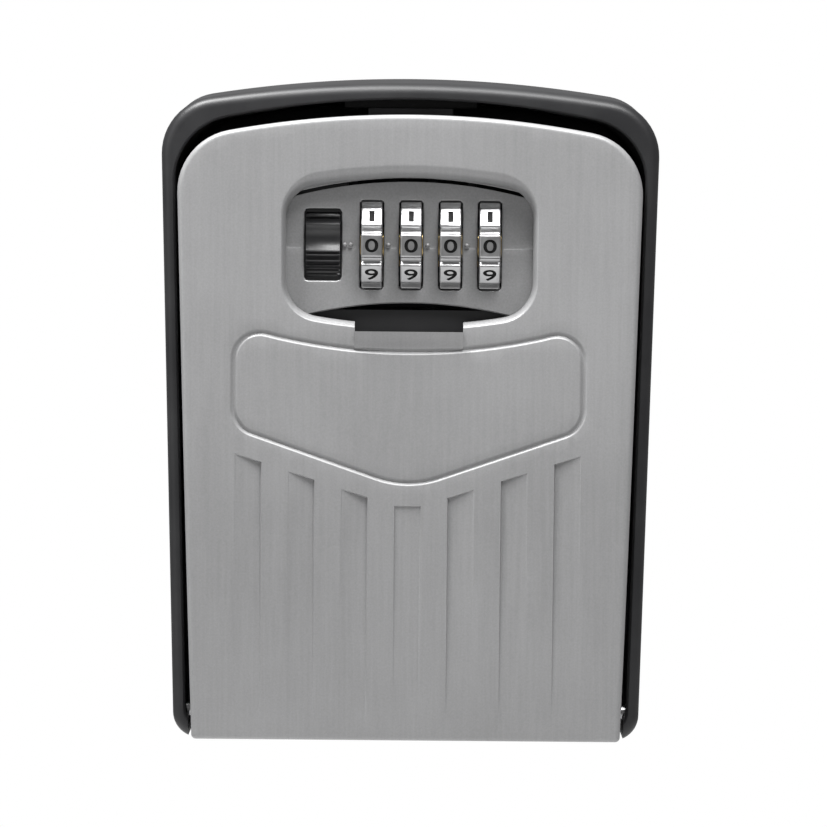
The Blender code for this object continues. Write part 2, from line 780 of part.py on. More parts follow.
def lock_case():
    """A frame round the wheels: it holds the shaft, guides the latch and carries the screws."""
    body = block("lock_case", (-CASE_HALF, CASE_HALF), CASE_Y, CASE_Z)
    inner_x = (-CASE_HALF + CASE_WALL, CASE_HALF - CASE_WALL)
    inner_z = (CASE_Z[0] + CASE_WALL, CASE_Z[1] - CASE_WALL)
    room = block("room", inner_x, (CASE_Y[0] - 3, CASE_Y[1] + 3), inner_z)
    nose_slot = block(
        "nose_slot",
        (-NOSE_HALF - 0.6, NOSE_HALF + 0.6),
        (NOSE_Y[0] - 0.5, NOSE_Y[1] + 0.4),
        (CASE_Z[1] - 4, CASE_Z[1] + 4),
    )
    body = carve(body, cuts=[room, nose_slot])
    cheek = block("cheek", CHEEK_X, CHEEK_Y, (CASE_Z[0] + 0.6, CHEEK_TOP))
    spring_x, spring_y = RETURN_SPRING
    ledge = block(
        "ledge",
        (-CASE_HALF + 0.6, CHEEK_X[0] + 0.6),
        (spring_y - 3.4, spring_y + 3.4),
        (RETURN_SPRING_Z[0] - 2.3, RETURN_SPRING_Z[0] - GAP),
    )
    post_foot, post_top = RETURN_SPRING_Z[0] - 1.5, RETURN_SPRING_Z[0] + 7.5
    post = rod(
        "post", 1.2, (spring_x, spring_y, (post_foot + post_top) / 2), post_top - post_foot, "Z", sides=16
    )
    apron = block(
        "apron", (-APRON_HALF, APRON_HALF), (CASE_Y[0], CASE_Y[0] + 1.4), (APRON_FOOT, CASE_Z[0] + 0.8)
    )
    lugs = []
    bores = []
    middle = (CASE_Y[0] + CASE_Y[1]) / 2 + 0.9
    depth = CASE_Y[1] - CASE_Y[0] - 1.8
    for side in (-1, 1):
        for z in LUG_ZS:
            lugs.append(rod("lug", LUG_RADIUS, (side * LUG_X, middle, z), depth, "Y", sides=20))
            web_x = sorted((side * (CASE_HALF - 0.8), side * LUG_X))
            web_y = (middle - depth / 2 + 0.3, middle + depth / 2 - 0.3)
            lugs.append(block("lug_web", web_x, web_y, (z - 1.6, z + 1.6)))
            bores.append(
                rod("bore", SCREW_RADIUS + GAP, (side * LUG_X, middle, z), 40, "Y", sides=16)
            )
    shaft_hole = rod("shaft_hole", SHAFT_RADIUS + GAP, (10, DIAL_Y, DIAL_Z), 60, "X")
    body = carve(body, joins=[cheek, ledge, post, apron, *lugs])
    return carve(body, cuts=[shaft_hole, *bores])


def rear_cover():
    outline = arched_outline(COVER_HALF, 0.0, (COVER_Z[1], 260.0, 4.0), (COVER_Z[0], FLAT, 4.0))
    cover = prism("rear_cover", outline, COVER_Y[1], COVER_Y[0])
    bores = [
        rod("bore", SCREW_RADIUS + GAP, (x, COVER_Y[0], z), 10, "Y", sides=16)
        for x in (-LUG_X, LUG_X)
        for z in LUG_ZS
    ]
    x, z = LEVER_PIVOT
    bores.append(rod("bore", LEVER_PIN_RADIUS + GAP, (x, COVER_Y[0], z), 10, "Y", sides=16))
    return carve(cover, cuts=bores)


def cover_screws():
    screws = []
    head_base = COVER_Y[1] + GAP
    length = head_base - SCREW_TIP
    profile = [
        (0.0, 0.0 - SCREW_HEAD_HEIGHT),
        (SCREW_HEAD_RADIUS - 0.7, 0.0 - SCREW_HEAD_HEIGHT),
        (SCREW_HEAD_RADIUS, 0.5 - SCREW_HEAD_HEIGHT),
        (SCREW_HEAD_RADIUS, 0.0),
        (SCREW_RADIUS, 0.0),
        (SCREW_RADIUS, length - 0.8),
        (0.5, length),
        (0.0, length),
    ]
    for x in (-LUG_X, LUG_X):
        for z in LUG_ZS:
            name = f"cover_screw_{len(screws) + 1}"
            screws.append(turned(name, profile, (x, head_base, z), sides=16))
    return screws


def reset_lever():
    """A flat lever with a round hub and a raised thumb tab at its end."""
    x, z = LEVER_PIVOT
    middle = sum(LEVER_Y) / 2
    thickness = LEVER_Y[1] - LEVER_Y[0]
    hub = rod("reset_lever", LEVER_HUB_RADIUS, (x, middle, z), thickness, "Y")
    arm = block("arm", (x - LEVER_LENGTH, x), LEVER_Y, (z - 1.9, z + 1.9))
    tab = block(
        "tab", (x - LEVER_LENGTH, x - LEVER_LENGTH + 2.4), (LEVER_Y[0] + 0.2, LEVER_Y[1] + 2.2), (z - 2.6, z + 2.6)
    )
    bore = rod("bore", LEVER_PIN_RADIUS + GAP, (x, middle, z), 12, "Y", sides=16)
    return carve(hub, cuts=[bore], joins=[arm, tab])


def lever_rivet():
    x, z = LEVER_PIVOT
    head_base = LEVER_Y[1] + GAP
    foot = COVER_Y[0] - GAP
    profile = [
        (0.0, -0.9),
        (1.6, -0.9),
        (2.2, -0.5),
        (2.2, 0.0),
        (LEVER_PIN_RADIUS, 0.0),
        (LEVER_PIN_RADIUS, head_base - foot),
        (0.0, head_base - foot),
    ]
    return turned("lever_rivet", profile, (x, head_base, z), sides=16)


def return_spring():
    low, high = RETURN_SPRING_Z
    inset = WIRE_RADIUS + 0.05
    return coil("return_spring", RETURN_SPRING_RADIUS, 7, low + inset, high - inset, RETURN_SPRING, "Z")


def shaft_spring():
    start, end = SHAFT_SPRING_X
    inset = WIRE_RADIUS + 0.05
    centre = (DIAL_Y, DIAL_Z)
    return coil("shaft_spring", SHAFT_SPRING_RADIUS, 3, start + inset, end - inset, centre, "X")


# ---------------------------------------------------------------- assembly

def material_for(look):
    name, colour, roughness, metallic = look
    made = bpy.data.materials.get(name)
    if made is None:
        made = bpy.data.materials.new(name)
        made.use_nodes = True
        shader = made.node_tree.nodes["Principled BSDF"]
        shader.inputs["Base Color"].default_value = (*colour, 1)
        shader.inputs["Roughness"].default_value = roughness
        shader.inputs["Metallic"].default_value = metallic
    return made


def pivot(name, place, parent=None):
    """An empty on a joint's axis."""
    empty = new_object(name, None)
    empty.empty_display_size = 0.01
    empty.location = [value * MM for value in place]
    bpy.context.view_layer.update()
    if parent is not None:
        hold(empty, parent)
    return empty


def hold(child, parent):
    """Parents a piece where it is."""
    bpy.context.view_layer.update()
    world = child.matrix_world.copy()
    child.parent = parent
    child.matrix_parent_inverse = parent.matrix_world.inverted()
    child.matrix_world = world


def finish(obj, look, parent, home):
    obj.data.materials.clear()
    obj.data.materials.append(material_for(look))
    if not obj.name.startswith(("dial_plate", "latch", "detent")):
        obj.data.shade_smooth()
        obj.data.set_sharp_from_angle(angle=math.radians(30))
    for old in list(obj.users_collection):
        old.objects.unlink(obj)
    home.objects.link(obj)
    if parent is not None:
        hold(obj, parent)


def main():
    clear_scene()
    home = collection_for("key_cabinet")
    hinge = pivot("hinge_axis", (0, HINGE_Y, HINGE_Z))
    release = pivot("release_path", (SLIDER_X, SLIDER_FRONT, DIAL_Z), hinge)
    lever_axis = pivot("lever_axis", (LEVER_PIVOT[0], LEVER_Y[0], LEVER_PIVOT[1]), hinge)
    wheel_axes = [
        pivot(f"wheel_axis_{i}", (x, DIAL_Y, DIAL_Z), hinge)
        for i, x in enumerate(wheel_places(), start=1)
    ]
    finish(housing_shell(), BLACK_PAINT, None, home)
    finish(hinge_pin(), PLAIN_STEEL, None, home)
    finish(door_shell(), SILVER_PAINT, hinge, home)
    finish(dial_plate(), SILVER_PAINT, hinge, home)
    finish(lock_case(), BLACK_PLASTIC, hinge, home)
    finish(rear_cover(), BLACK_PLASTIC, hinge, home)
    finish(dial_shaft(), PLAIN_STEEL, hinge, home)
    finish(detent_spring(), PLAIN_STEEL, hinge, home)
    finish(shaft_spring(), PLAIN_STEEL, hinge, home)
    finish(return_spring(), PLAIN_STEEL, hinge, home)
    finish(lever_rivet(), PLAIN_STEEL, hinge, home)
    for screw in cover_screws():
        finish(screw, PLAIN_STEEL, hinge, home)
    finish(release_slider(), BLACK_PLASTIC, release, home)
    finish(latch_bolt(), PLAIN_STEEL, release, home)
    finish(reset_lever(), BLACK_PLASTIC, lever_axis, home)
    for wheel, axis in zip(repeat_on_shaft("number_wheel", number_wheel_mesh()), wheel_axes):
        finish(wheel, BRIGHT_CHROME, axis, home)
    for cam, axis in zip(repeat_on_shaft("wheel_cam", wheel_cam_mesh()), wheel_axes):
        finish(cam, BRASS, axis, home)


main()
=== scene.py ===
import json
import math

import bmesh
import bpy
import numpy as np
from mathutils import Matrix, Vector
from mathutils.geometry import delaunay_2d_cdt

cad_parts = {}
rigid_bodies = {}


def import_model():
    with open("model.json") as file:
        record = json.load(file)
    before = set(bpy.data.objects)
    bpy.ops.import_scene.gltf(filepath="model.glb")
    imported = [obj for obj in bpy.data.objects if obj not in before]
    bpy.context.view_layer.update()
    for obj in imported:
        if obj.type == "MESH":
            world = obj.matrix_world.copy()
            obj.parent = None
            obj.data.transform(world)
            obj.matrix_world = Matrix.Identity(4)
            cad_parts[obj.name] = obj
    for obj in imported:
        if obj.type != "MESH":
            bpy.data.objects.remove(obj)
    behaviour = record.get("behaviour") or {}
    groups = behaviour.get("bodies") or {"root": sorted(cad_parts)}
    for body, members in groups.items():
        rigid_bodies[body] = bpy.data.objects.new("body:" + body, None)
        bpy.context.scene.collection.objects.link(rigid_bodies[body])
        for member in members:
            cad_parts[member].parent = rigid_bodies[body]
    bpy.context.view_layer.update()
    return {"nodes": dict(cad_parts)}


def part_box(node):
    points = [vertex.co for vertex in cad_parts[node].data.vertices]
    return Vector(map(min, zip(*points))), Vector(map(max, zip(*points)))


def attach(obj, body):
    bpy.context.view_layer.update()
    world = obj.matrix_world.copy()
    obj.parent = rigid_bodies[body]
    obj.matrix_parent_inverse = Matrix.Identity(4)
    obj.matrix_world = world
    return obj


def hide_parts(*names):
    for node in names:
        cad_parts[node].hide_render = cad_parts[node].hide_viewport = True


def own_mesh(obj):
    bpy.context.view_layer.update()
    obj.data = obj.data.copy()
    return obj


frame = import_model()
mm = 0.001
flat = 1.0e5  # the radius of an end that is a straight line
archSteps, cornerSteps = 24, 12

print("frame loaded:", len(frame["nodes"]), "nodes")


def boxMm(node):
    low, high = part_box(node)
    return [value / mm for value in low], [value / mm for value in high]


# outlines are lists of (x, z) in millimetres, anticlockwise from the middle of the foot


def halfArch(half, lean, end):
    apex, arch, corner = end
    steps = 1 if arch > flat / 2 else archSteps
    centreZ = apex - arch
    slope = math.hypot(1, lean)
    inset = half - corner * slope
    b = inset * lean - centreZ
    c = inset**2 + centreZ**2 - (arch - corner) ** 2
    cornerZ = (-b + math.sqrt(b * b - slope**2 * c)) / slope**2
    cornerX = inset + lean * cornerZ
    first = math.atan2(-lean, 1)
    last = math.atan2(cornerZ - centreZ, cornerX)
    points = []
    for i in range(cornerSteps + 1):
        angle = first + (last - first) * i / cornerSteps
        points.append((cornerX + corner * math.cos(angle), cornerZ + corner * math.sin(angle)))
    for i in range(1, steps + 1):
        angle = last + (math.pi / 2 - last) * i / steps
        points.append((arch * math.cos(angle), centreZ + arch * math.sin(angle)))
    return points


def archedLoop(shape, inset):
    half, lean, top, foot = shape
    half = half - inset * math.hypot(1, lean)
    top = (top[0] - inset, top[1] - inset, max(top[2] - inset, 0.05))
    foot = (foot[0] + inset, foot[1] - inset, max(foot[2] - inset, 0.05))
    upper = halfArch(half, lean, top)
    lower = halfArch(half, -lean, (-foot[0], foot[1], foot[2]))
    right = [(x, -z) for x, z in reversed(lower)] + upper
    return np.array(right + [(-x, z) for x, z in reversed(right[1:-1])])


def denseLoop(shape, inset=0.0, like=None, step=1.4):
    # shapes made with the same "like" get the same number of points, so their loops join point to point
    base = archedLoop(like or shape, 0.0)
    loop = archedLoop(shape, inset)
    parts = []
    for i in range(len(base)):
        j = (i + 1) % len(base)
        count = max(1, round(float(np.linalg.norm(base[j] - base[i])) / step))
        share = np.arange(count)[:, None] / count
        parts.append(loop[i] + (loop[j] - loop[i]) * share)
    return np.concatenate(parts)


def roundedLoop(corners, steps=10):
    # corners are (x, z, radius), and a radius of 0 leaves the corner as it is
    points = []
    count = len(corners)
    for i, (x, z, radius) in enumerate(corners):
        here = np.array((x, z))
        if radius == 0:
            points.append(here)
            continue
        before = np.array(corners[i - 1][:2]) - here
        after = np.array(corners[(i + 1) % count][:2]) - here
        before, after = before / np.linalg.norm(before), after / np.linalg.norm(after)
        turn = math.acos(float(np.clip(before @ after, -1, 1)))
        middle = (before + after) / np.linalg.norm(before + after)
        centre = here + middle * radius / math.sin(turn / 2)
        reach = radius / math.tan(turn / 2)
        start, end = here + before * reach - centre, here + after * reach - centre
        angle = math.atan2(start[1], start[0])
        sweep = (math.atan2(end[1], end[0]) - angle + math.pi) % math.tau - math.pi
        for k in range(steps + 1):
            a = angle + sweep * k / steps
            points.append(centre + radius * np.array((math.cos(a), math.sin(a))))
    return np.array(points)


def resampled(loop, count):
    closed = np.vstack([loop, loop[:1]])
    lengths = np.concatenate([[0], np.cumsum(np.linalg.norm(np.diff(closed, axis=0), axis=1))])
    at = np.arange(count) / count * lengths[-1]
    return np.column_stack([np.interp(at, lengths, closed[:, k]) for k in (0, 1)])


def offsetLoop(loop, distance):
    # positive moves an anticlockwise loop outwards
    along = np.roll(loop, -1, axis=0) - np.roll(loop, 1, axis=0)
    along /= np.linalg.norm(along, axis=1)[:, None]
    return loop + distance * np.column_stack([along[:, 1], -along[:, 0]])


def quarter(radius, *angles):
    # a rounded edge, as pairs of how far it stands back along each of its two faces
    for a in map(math.radians, angles):
        yield radius * (1 - math.cos(a)), radius * (1 - math.sin(a))


def inside(points, loop):
    x, z = points[:, 0:1], points[:, 1:2]
    ax, az = loop[:, 0], loop[:, 1]
    bx, bz = np.roll(ax, -1), np.roll(az, -1)
    rise = np.where(bz == az, 1e-12, bz - az)
    crosses = ((az > z) != (bz > z)) & (x < (bx - ax) * (z - az) / rise + ax)
    return crosses.sum(axis=1) % 2 == 1


def nearest(points, others):
    found = np.empty(len(points))
    for i in range(0, len(points), 400):
        gaps = points[i : i + 400, None, :] - others[None, :, :]
        found[i : i + 400] = np.sqrt((gaps**2).sum(axis=2).min(axis=1))
    return found


class Skin:
    # a mesh being built from rings of points, in millimetres
    def __init__(self):
        self.points = []
        self.faces = []

    def ring(self, loop, depth):
        depths = np.broadcast_to(np.asarray(depth, float), len(loop))
        first = len(self.points)
        self.points += [(x, y, z) for (x, z), y in zip(loop, depths)]
        return list(range(first, len(self.points)))

    def strip(self, a, b):
        for i in range(len(a)):
            j = (i + 1) % len(a)
            self.faces.append((a[i], a[j], b[j], b[i]))

    def strips(self, rings):
        for a, b in zip(rings, rings[1:]):
            self.strip(a, b)

    def fill(self, loops, lines=(), keep=None):
        # triangles between closed loops and open lines of points, all given by their numbers
        used = [k for loop in (*loops, *lines) for k in loop]
        order = {}
        for k in used:
            order.setdefault(k, len(order))
        numbers = list(order)
        edges = [(order[a], order[b]) for loop in loops for a, b in zip(loop, loop[1:] + loop[:1])]
        edges += [(order[a], order[b]) for line in lines for a, b in zip(line, line[1:])]
        flatPoints = [Vector((self.points[k][0], self.points[k][2])) for k in numbers]
        places, ends, triangles, origins, sources = delaunay_2d_cdt(flatPoints, edges, [], 0, 1e-6, True)[:5]
        index = [numbers[origin[0]] if origin else None for origin in origins]
        walls = {tuple(sorted(end)) for end, source in zip(ends, sources) if source}
        group = list(range(len(triangles)))

        def head(t):
            while group[t] != t:
                group[t] = group[group[t]]
                t = group[t]
            return t

        # triangles with no wall between them are kept or left out together
        sides = {}
        for t, triangle in enumerate(triangles):
            for a, b in zip(triangle, triangle[1:] + triangle[:1]):
                side = (min(a, b), max(a, b))
                if side in sides and side not in walls:
                    group[head(t)] = head(sides[side])
                sides[side] = t
        corners = np.array([[places[k][:2] for k in t] for t in triangles])
        first, second = corners[:, 1] - corners[:, 0], corners[:, 2] - corners[:, 0]
        areas = np.abs(first[:, 0] * second[:, 1] - first[:, 1] * second[:, 0]) / 2
        heads = np.array([head(t) for t in range(len(triangles))])
        for chosen in np.unique(heads):
            members = np.flatnonzero(heads == chosen)
            biggest = members[np.argmax(areas[members])]
            if areas[members].sum() < 1e-3 or (keep and not keep(corners[biggest].mean(axis=0)[None])[0]):
                continue
            self.faces += [tuple(index[k] for k in triangles[t]) for t in members]

    def build(self, name, material, sharp=38):
        return finishMesh(name, meshFrom(name, self.points, self.faces), material, sharp)


def added(name, data):
    obj = bpy.data.objects.new(name, data)
    bpy.context.scene.collection.objects.link(obj)
    return obj


def shadeFrom(mesh, sharp):
    # smooth shading, with edges over this many degrees left sharp
    mesh.shade_smooth()
    mesh.set_sharp_from_angle(angle=math.radians(sharp))


def meshFrom(name, points, faces):
    mesh = bpy.data.meshes.new(name)
    mesh.from_pydata([tuple(v * mm for v in p) for p in points], [], faces)
    return mesh


def finishMesh(name, mesh, material, sharp=38, merge=0.002):
    work = bmesh.new()
    work.from_mesh(mesh)
    bmesh.ops.remove_doubles(work, verts=work.verts, dist=merge * mm)
    bmesh.ops.dissolve_degenerate(work, edges=work.edges, dist=merge * mm / 2)
    loose = [v for v in work.verts if not v.link_faces]
    bmesh.ops.delete(work, geom=loose, context="VERTS")
    bmesh.ops.recalc_face_normals(work, faces=work.faces)
    work.to_mesh(mesh)
    work.free()
    mesh.materials.clear()
    mesh.materials.append(material)
    shadeFrom(mesh, sharp)
    return added(name, mesh)


def evaluated(obj):
    # the object's mesh with its modifiers, as a new object at the origin
    graph = bpy.context.evaluated_depsgraph_get()
    mesh = bpy.data.meshes.new_from_object(obj.evaluated_get(graph))
    mesh.transform(obj.matrix_world)
    name = obj.name
    bpy.data.objects.remove(obj)
    return added(name, mesh)


def carved(obj, steps, sharp=38):
    for operation, other in steps:
        change = obj.modifiers.new(operation, "BOOLEAN")
        change.operation = operation
        change.solver = "MANIFOLD"
        change.object = other
        change.material_mode = "TRANSFER"
    made = evaluated(obj)
    for _, other in steps:
        bpy.data.objects.remove(other)
    shadeFrom(made.data, sharp)
    return made


def beveled(obj, width, segments=2, limit=32, weighted=False):
    edge = obj.modifiers.new("edges", "BEVEL")
    edge.width = width * mm
    edge.segments = segments
    edge.limit_method = "ANGLE"
    edge.angle_limit = math.radians(limit)
    if weighted:
        obj.data.set_sharp_from_angle(angle=math.pi)
        obj.modifiers.new("normals", "WEIGHTED_NORMAL").keep_sharp = True
        return evaluated(obj)
    made = evaluated(obj)
    shadeFrom(made.data, 38)
    return made


def prismMesh(name, outline, start, end, along, material):
    # an outline pushed out along Y, as (x, z), or along X, as (y, z)
    count = len(outline)
    points = []
    for place in (start, end):
        for u, v in outline:
            points.append((u, place, v) if along == "Y" else (place, u, v))
    faces = [tuple(range(count)), tuple(range(2 * count - 1, count - 1, -1))]
    faces += [(i, (i + 1) % count, count + (i + 1) % count, count + i) for i in range(count)]
    return finishMesh(name, meshFrom(name, points, faces), material)


def rodMesh(name, radius, centre, length, axis, material, endRadius=None):
    work = bmesh.new()
    bmesh.ops.create_cone(
        work,
        cap_ends=True,
        segments=48,
        radius1=radius * mm,
        radius2=(radius if endRadius is None else endRadius) * mm,
        depth=length * mm,
    )
    turns = {"X": Matrix.Rotation(math.pi / 2, 4, "Y"), "Y": Matrix.Rotation(-math.pi / 2, 4, "X")}
    work.transform(Matrix.Translation([v * mm for v in centre]) @ turns[axis])
    mesh = bpy.data.meshes.new(name)
    work.to_mesh(mesh)
    work.free()
    return finishMesh(name, mesh, material)


def blockMesh(name, x, y, z, material):
    outline = [(x[0], z[0]), (x[1], z[0]), (x[1], z[1]), (x[0], z[1])]
    return prismMesh(name, outline, y[0], y[1], "Y", material)


def softCopy(node, body, slot, material, width, segments):
    # stands for a CAD node with a copy that has eased edges
    obj = finishMesh(node + "Piece", frame["nodes"][node].data.copy(), material)
    work = bmesh.new()
    work.from_mesh(obj.data)
    bmesh.ops.dissolve_limit(work, angle_limit=math.radians(1), verts=work.verts, edges=work.edges)
    work.to_mesh(obj.data)
    work.free()
    return place(beveled(obj, width, segments, weighted=True), body, slot, node)


def place(obj, body, slot, *nodes):
    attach(obj, body)
    if nodes:
        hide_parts(*nodes)
    return obj


# materials

class Wire:
    # a node's output, so that shader maths reads as sums
    def __init__(self, tree, socket):
        self.tree, self.socket = tree, socket

    def math(self, operation, other, swap=False):
        node = self.tree.nodes.new("ShaderNodeMath")
        node.operation = operation
        pair = (other, self) if swap else (self, other)
        for slot, value in zip(node.inputs, pair):
            if isinstance(value, Wire):
                self.tree.links.new(value.socket, slot)
            else:
                slot.default_value = value
        return Wire(self.tree, node.outputs[0])

    def __add__(self, other):
        return self.math("ADD", other)

    __radd__ = __add__

    def __mul__(self, other):
        return self.math("MULTIPLY", other)

    __rmul__ = __mul__

    def __sub__(self, other):
        return self.math("SUBTRACT", other)

    def __rsub__(self, other):
        return self.math("SUBTRACT", other, swap=True)


class NodeTree:
    def __init__(self, tree):
        self.tree = tree

    def put(self, node, values):
        for key, value in values.items():
            slot = node.inputs[key.replace("_", " ") if isinstance(key, str) else key]
            if isinstance(value, Wire):
                self.tree.links.new(value.socket, slot)
            else:
                slot.default_value = value

    def add(self, kind, settings=None, inputs=None, output=0, **named):
        # sockets by number in inputs, or by name with _ for a space
        node = self.tree.nodes.new(kind)
        for key, value in (settings or {}).items():
            if key == "stops":
                for stop, (position, level) in zip(node.color_ramp.elements, value):
                    stop.position, stop.color = position, (level, level, level, 1)
            else:
                setattr(node, key, value)
        self.put(node, (inputs or {}) | named)
        return Wire(self.tree, node.outputs[output])


class Finish(NodeTree):
    def __init__(self, name, colour, roughness, metallic=0.0, **sockets):
        self.material = bpy.data.materials.new(name)
        self.material.use_nodes = True
        self.material.diffuse_color = (*colour, 1)
        super().__init__(self.material.node_tree)
        self.shader = self.tree.nodes["Principled BSDF"]
        base = {"Base Color": (*colour, 1), "Roughness": roughness, "Metallic": metallic}
        self.put(self.shader, base | sockets)

    def spot(self, stretch=(1, 1, 1)):
        place = self.add("ShaderNodeTexCoord", output=3)
        return self.add("ShaderNodeMapping", Vector=place, Scale=stretch)

    def noise(self, scale, detail, stretch=(1, 1, 1)):
        inputs = {"Vector": self.spot(stretch), "Scale": scale, "Detail": detail, "Roughness": 0.55}
        return self.add("ShaderNodeTexNoise", inputs=inputs)

    def ramp(self, value, low, high):
        return self.add("ShaderNodeValToRGB", {"stops": ((low, 0.0), (high, 1.0))}, {0: value})

    def blendColour(self, factor, first, second):
        inputs = {0: factor, 6: (*first, 1), 7: (*second, 1)}
        return self.add("ShaderNodeMix", {"data_type": "RGBA"}, inputs, output=2)

    def bump(self, height, distance, strength):
        return self.add("ShaderNodeBump", Height=height, Distance=distance * mm, Strength=strength)

    def shade(self, **sockets):
        self.put(self.shader, sockets)
        return self.material


silver = {"light": (0.265, 0.265, 0.268), "dark": (0.215, 0.215, 0.217), "flake": 2600.0, "cloud": 28.0}


def silverPaint():
    paint = Finish("silverPaint", silver["light"], 0.42, 0.15, Coat_Weight=0.12, Coat_Roughness=0.3)
    cloud = paint.noise(silver["cloud"], 4.0)
    flakes = paint.noise(silver["flake"], 1.0)
    streaks = paint.noise(160.0, 2.0, (9, 1, 0.35))
    tone = paint.ramp(cloud * 0.45 + flakes * 0.3 + streaks * 0.25, 0.36, 0.64)
    colour = paint.blendColour(tone, silver["dark"], silver["light"])
    grain = paint.bump(flakes * 0.7 + paint.noise(900.0, 2.0) * 0.6, 0.012, 0.5)
    return paint.shade(Base_Color=colour, Roughness=0.36 + flakes * 0.16, Normal=grain)


def blackPaint():
    paint = Finish("blackPaint", (0.014, 0.014, 0.015), 0.45, 0.0, Specular_IOR_Level=0.4)
    grain = paint.noise(1500.0, 3.0)
    dust = paint.noise(60.0, 5.0)
    colour = paint.blendColour(paint.ramp(dust, 0.4, 0.7), (0.01, 0.01, 0.011), (0.018, 0.018, 0.019))
    return paint.shade(Base_Color=colour, Roughness=0.38 + dust * 0.16, Normal=paint.bump(grain, 0.03, 0.6))


def platePaint():
    shade = (0.28, 0.28, 0.282)
    paint = Finish("platePaint", shade, 0.34, 0.35, Coat_Weight=0.3, Coat_Roughness=0.22)
    flakes = paint.noise(2400.0, 1.0)
    tone = paint.ramp(paint.noise(40.0, 4.0) * 0.6 + flakes * 0.4, 0.35, 0.65)
    colour = paint.blendColour(tone, (0.23, 0.23, 0.232), (0.29, 0.29, 0.293))
    relief = paint.bump(flakes, 0.01, 0.5)
    return paint.shade(Base_Color=colour, Roughness=0.28 + flakes * 0.14, Normal=relief)


def brightChrome():
    chrome = Finish("brightChrome", (0.36, 0.36, 0.364), 0.28, 1.0)
    haze = chrome.noise(420.0, 4.0)
    scratch = chrome.noise(1400.0, 2.0, (0.12, 1, 1)) * 0.4 + chrome.noise(500.0, 3.0) * 0.6
    colour = chrome.blendColour(haze, (0.26, 0.26, 0.262), (0.46, 0.46, 0.464))
    relief = chrome.bump(scratch, 0.09, 0.7)
    return chrome.shade(Base_Color=colour, Roughness=0.28 + haze * 0.2, Normal=relief)


# near-black fill for the engraved figures, also laid on the strike as painted shade in the gap over the door
def figurePaint():
    paint = Finish("figurePaint", (0.006, 0.006, 0.006), 0.6, 0.0, Specular_IOR_Level=0.15)
    return paint.shade(Roughness=0.5 + paint.noise(1800.0, 2.0) * 0.25)


# name, colour, roughness and metallic; stain and its two colours; grain, its roughness and height
grained = {
    "plastic": (
        ("blackPlastic", (0.012, 0.012, 0.013), 0.4, 0.0),
        ((90.0, 3.0), (0.009, 0.009, 0.01), (0.018, 0.018, 0.019)),
        ((2200.0, 2.0), 0.3, 0.2, 0.012),
    ),
    "steel": (
        ("plainSteel", (0.5, 0.5, 0.51), 0.32, 1.0),
        ((45.0, 4.0), (0.42, 0.42, 0.425), (0.58, 0.58, 0.59)),
        ((700.0, 3.0, (0.1, 1, 1)), 0.22, 0.24, 0.01),
    ),
    # steel darkened towards black as painted shade, so the latch bolt reads as shadow in the gap over the
    # door; its stain still varies at random
    "darkSteel": (
        ("darkSteel", (0.09, 0.09, 0.092), 0.45, 0.8),
        ((70.0, 4.0), (0.03, 0.03, 0.031), (0.07, 0.07, 0.072)),
        ((1100.0, 3.0), 0.36, 0.2, 0.012),
    ),
    "brass": (
        ("turnedBrass", (0.7, 0.5, 0.22), 0.3, 1.0),
        ((120.0, 4.0), (0.6, 0.42, 0.18), (0.78, 0.57, 0.27)),
        ((900.0, 2.0, (4, 0.4, 0.4)), 0.2, 0.2, 0.01),
    ),
}


def grainedFinish(base, stain, grain):
    made = Finish(*base)
    (pattern, first, second), (fine, low, spread, height) = stain, grain
    fine = made.noise(*fine)
    colour = made.blendColour(made.noise(*pattern), first, second)
    return made.shade(Base_Color=colour, Roughness=low + fine * spread, Normal=made.bump(fine, height, 0.5))


finishes = {key: grainedFinish(*values) for key, values in grained.items()}
finishes |= {"silver": silverPaint(), "black": blackPaint(), "plate": platePaint()}
finishes |= {"chrome": brightChrome(), "figures": figurePaint()}
print("materials ready")

# camera, floor and light

view = {
    "tilt": 3.6, "turn": 0.0, "roll": 0.5, "distance": 900.0, "aim": (1.1, -20.0, -1.9), "lens": 182.5,
}


def makeCamera():
    data = bpy.data.cameras.new("camera")
    data.lens = view["lens"]
    data.sensor_width = 36
    data.clip_start, data.clip_end = 0.01, 20
    camera = added("camera", data)
    turn, tilt = math.radians(view["turn"]), math.radians(view["tilt"])
    level = math.cos(tilt)
    back = Vector((math.sin(turn) * level, -math.cos(turn) * level, math.sin(tilt)))
    camera.location = Vector(view["aim"]) * mm + back * view["distance"] * mm
    upright = (-back).to_track_quat("-Z", "Y").to_matrix().to_4x4()
    rolled = upright @ Matrix.Rotation(math.radians(view["roll"]), 4, "Z")
    camera.matrix_world = Matrix.Translation(camera.location) @ rolled
    bpy.context.scene.camera = camera


studio = {
    "backdrop": 1.0,
    "room": 0.3,
    "floor": (-1.2, 1.2, 0.27),
    "floorFade": (0.4, 0.95),
    "lampAim": (0, -0.02, 0),
    "lamps": {
        "keyLamp": ((0.16, -0.42, 0.76), 0.32, 9.8),
        "topLamp": ((-0.3, -0.17, 0.81), 0.3, 20.0),
        "fillLamp": ((-0.9, -0.6, 0.2), 0.6, 1.5),
    },
}


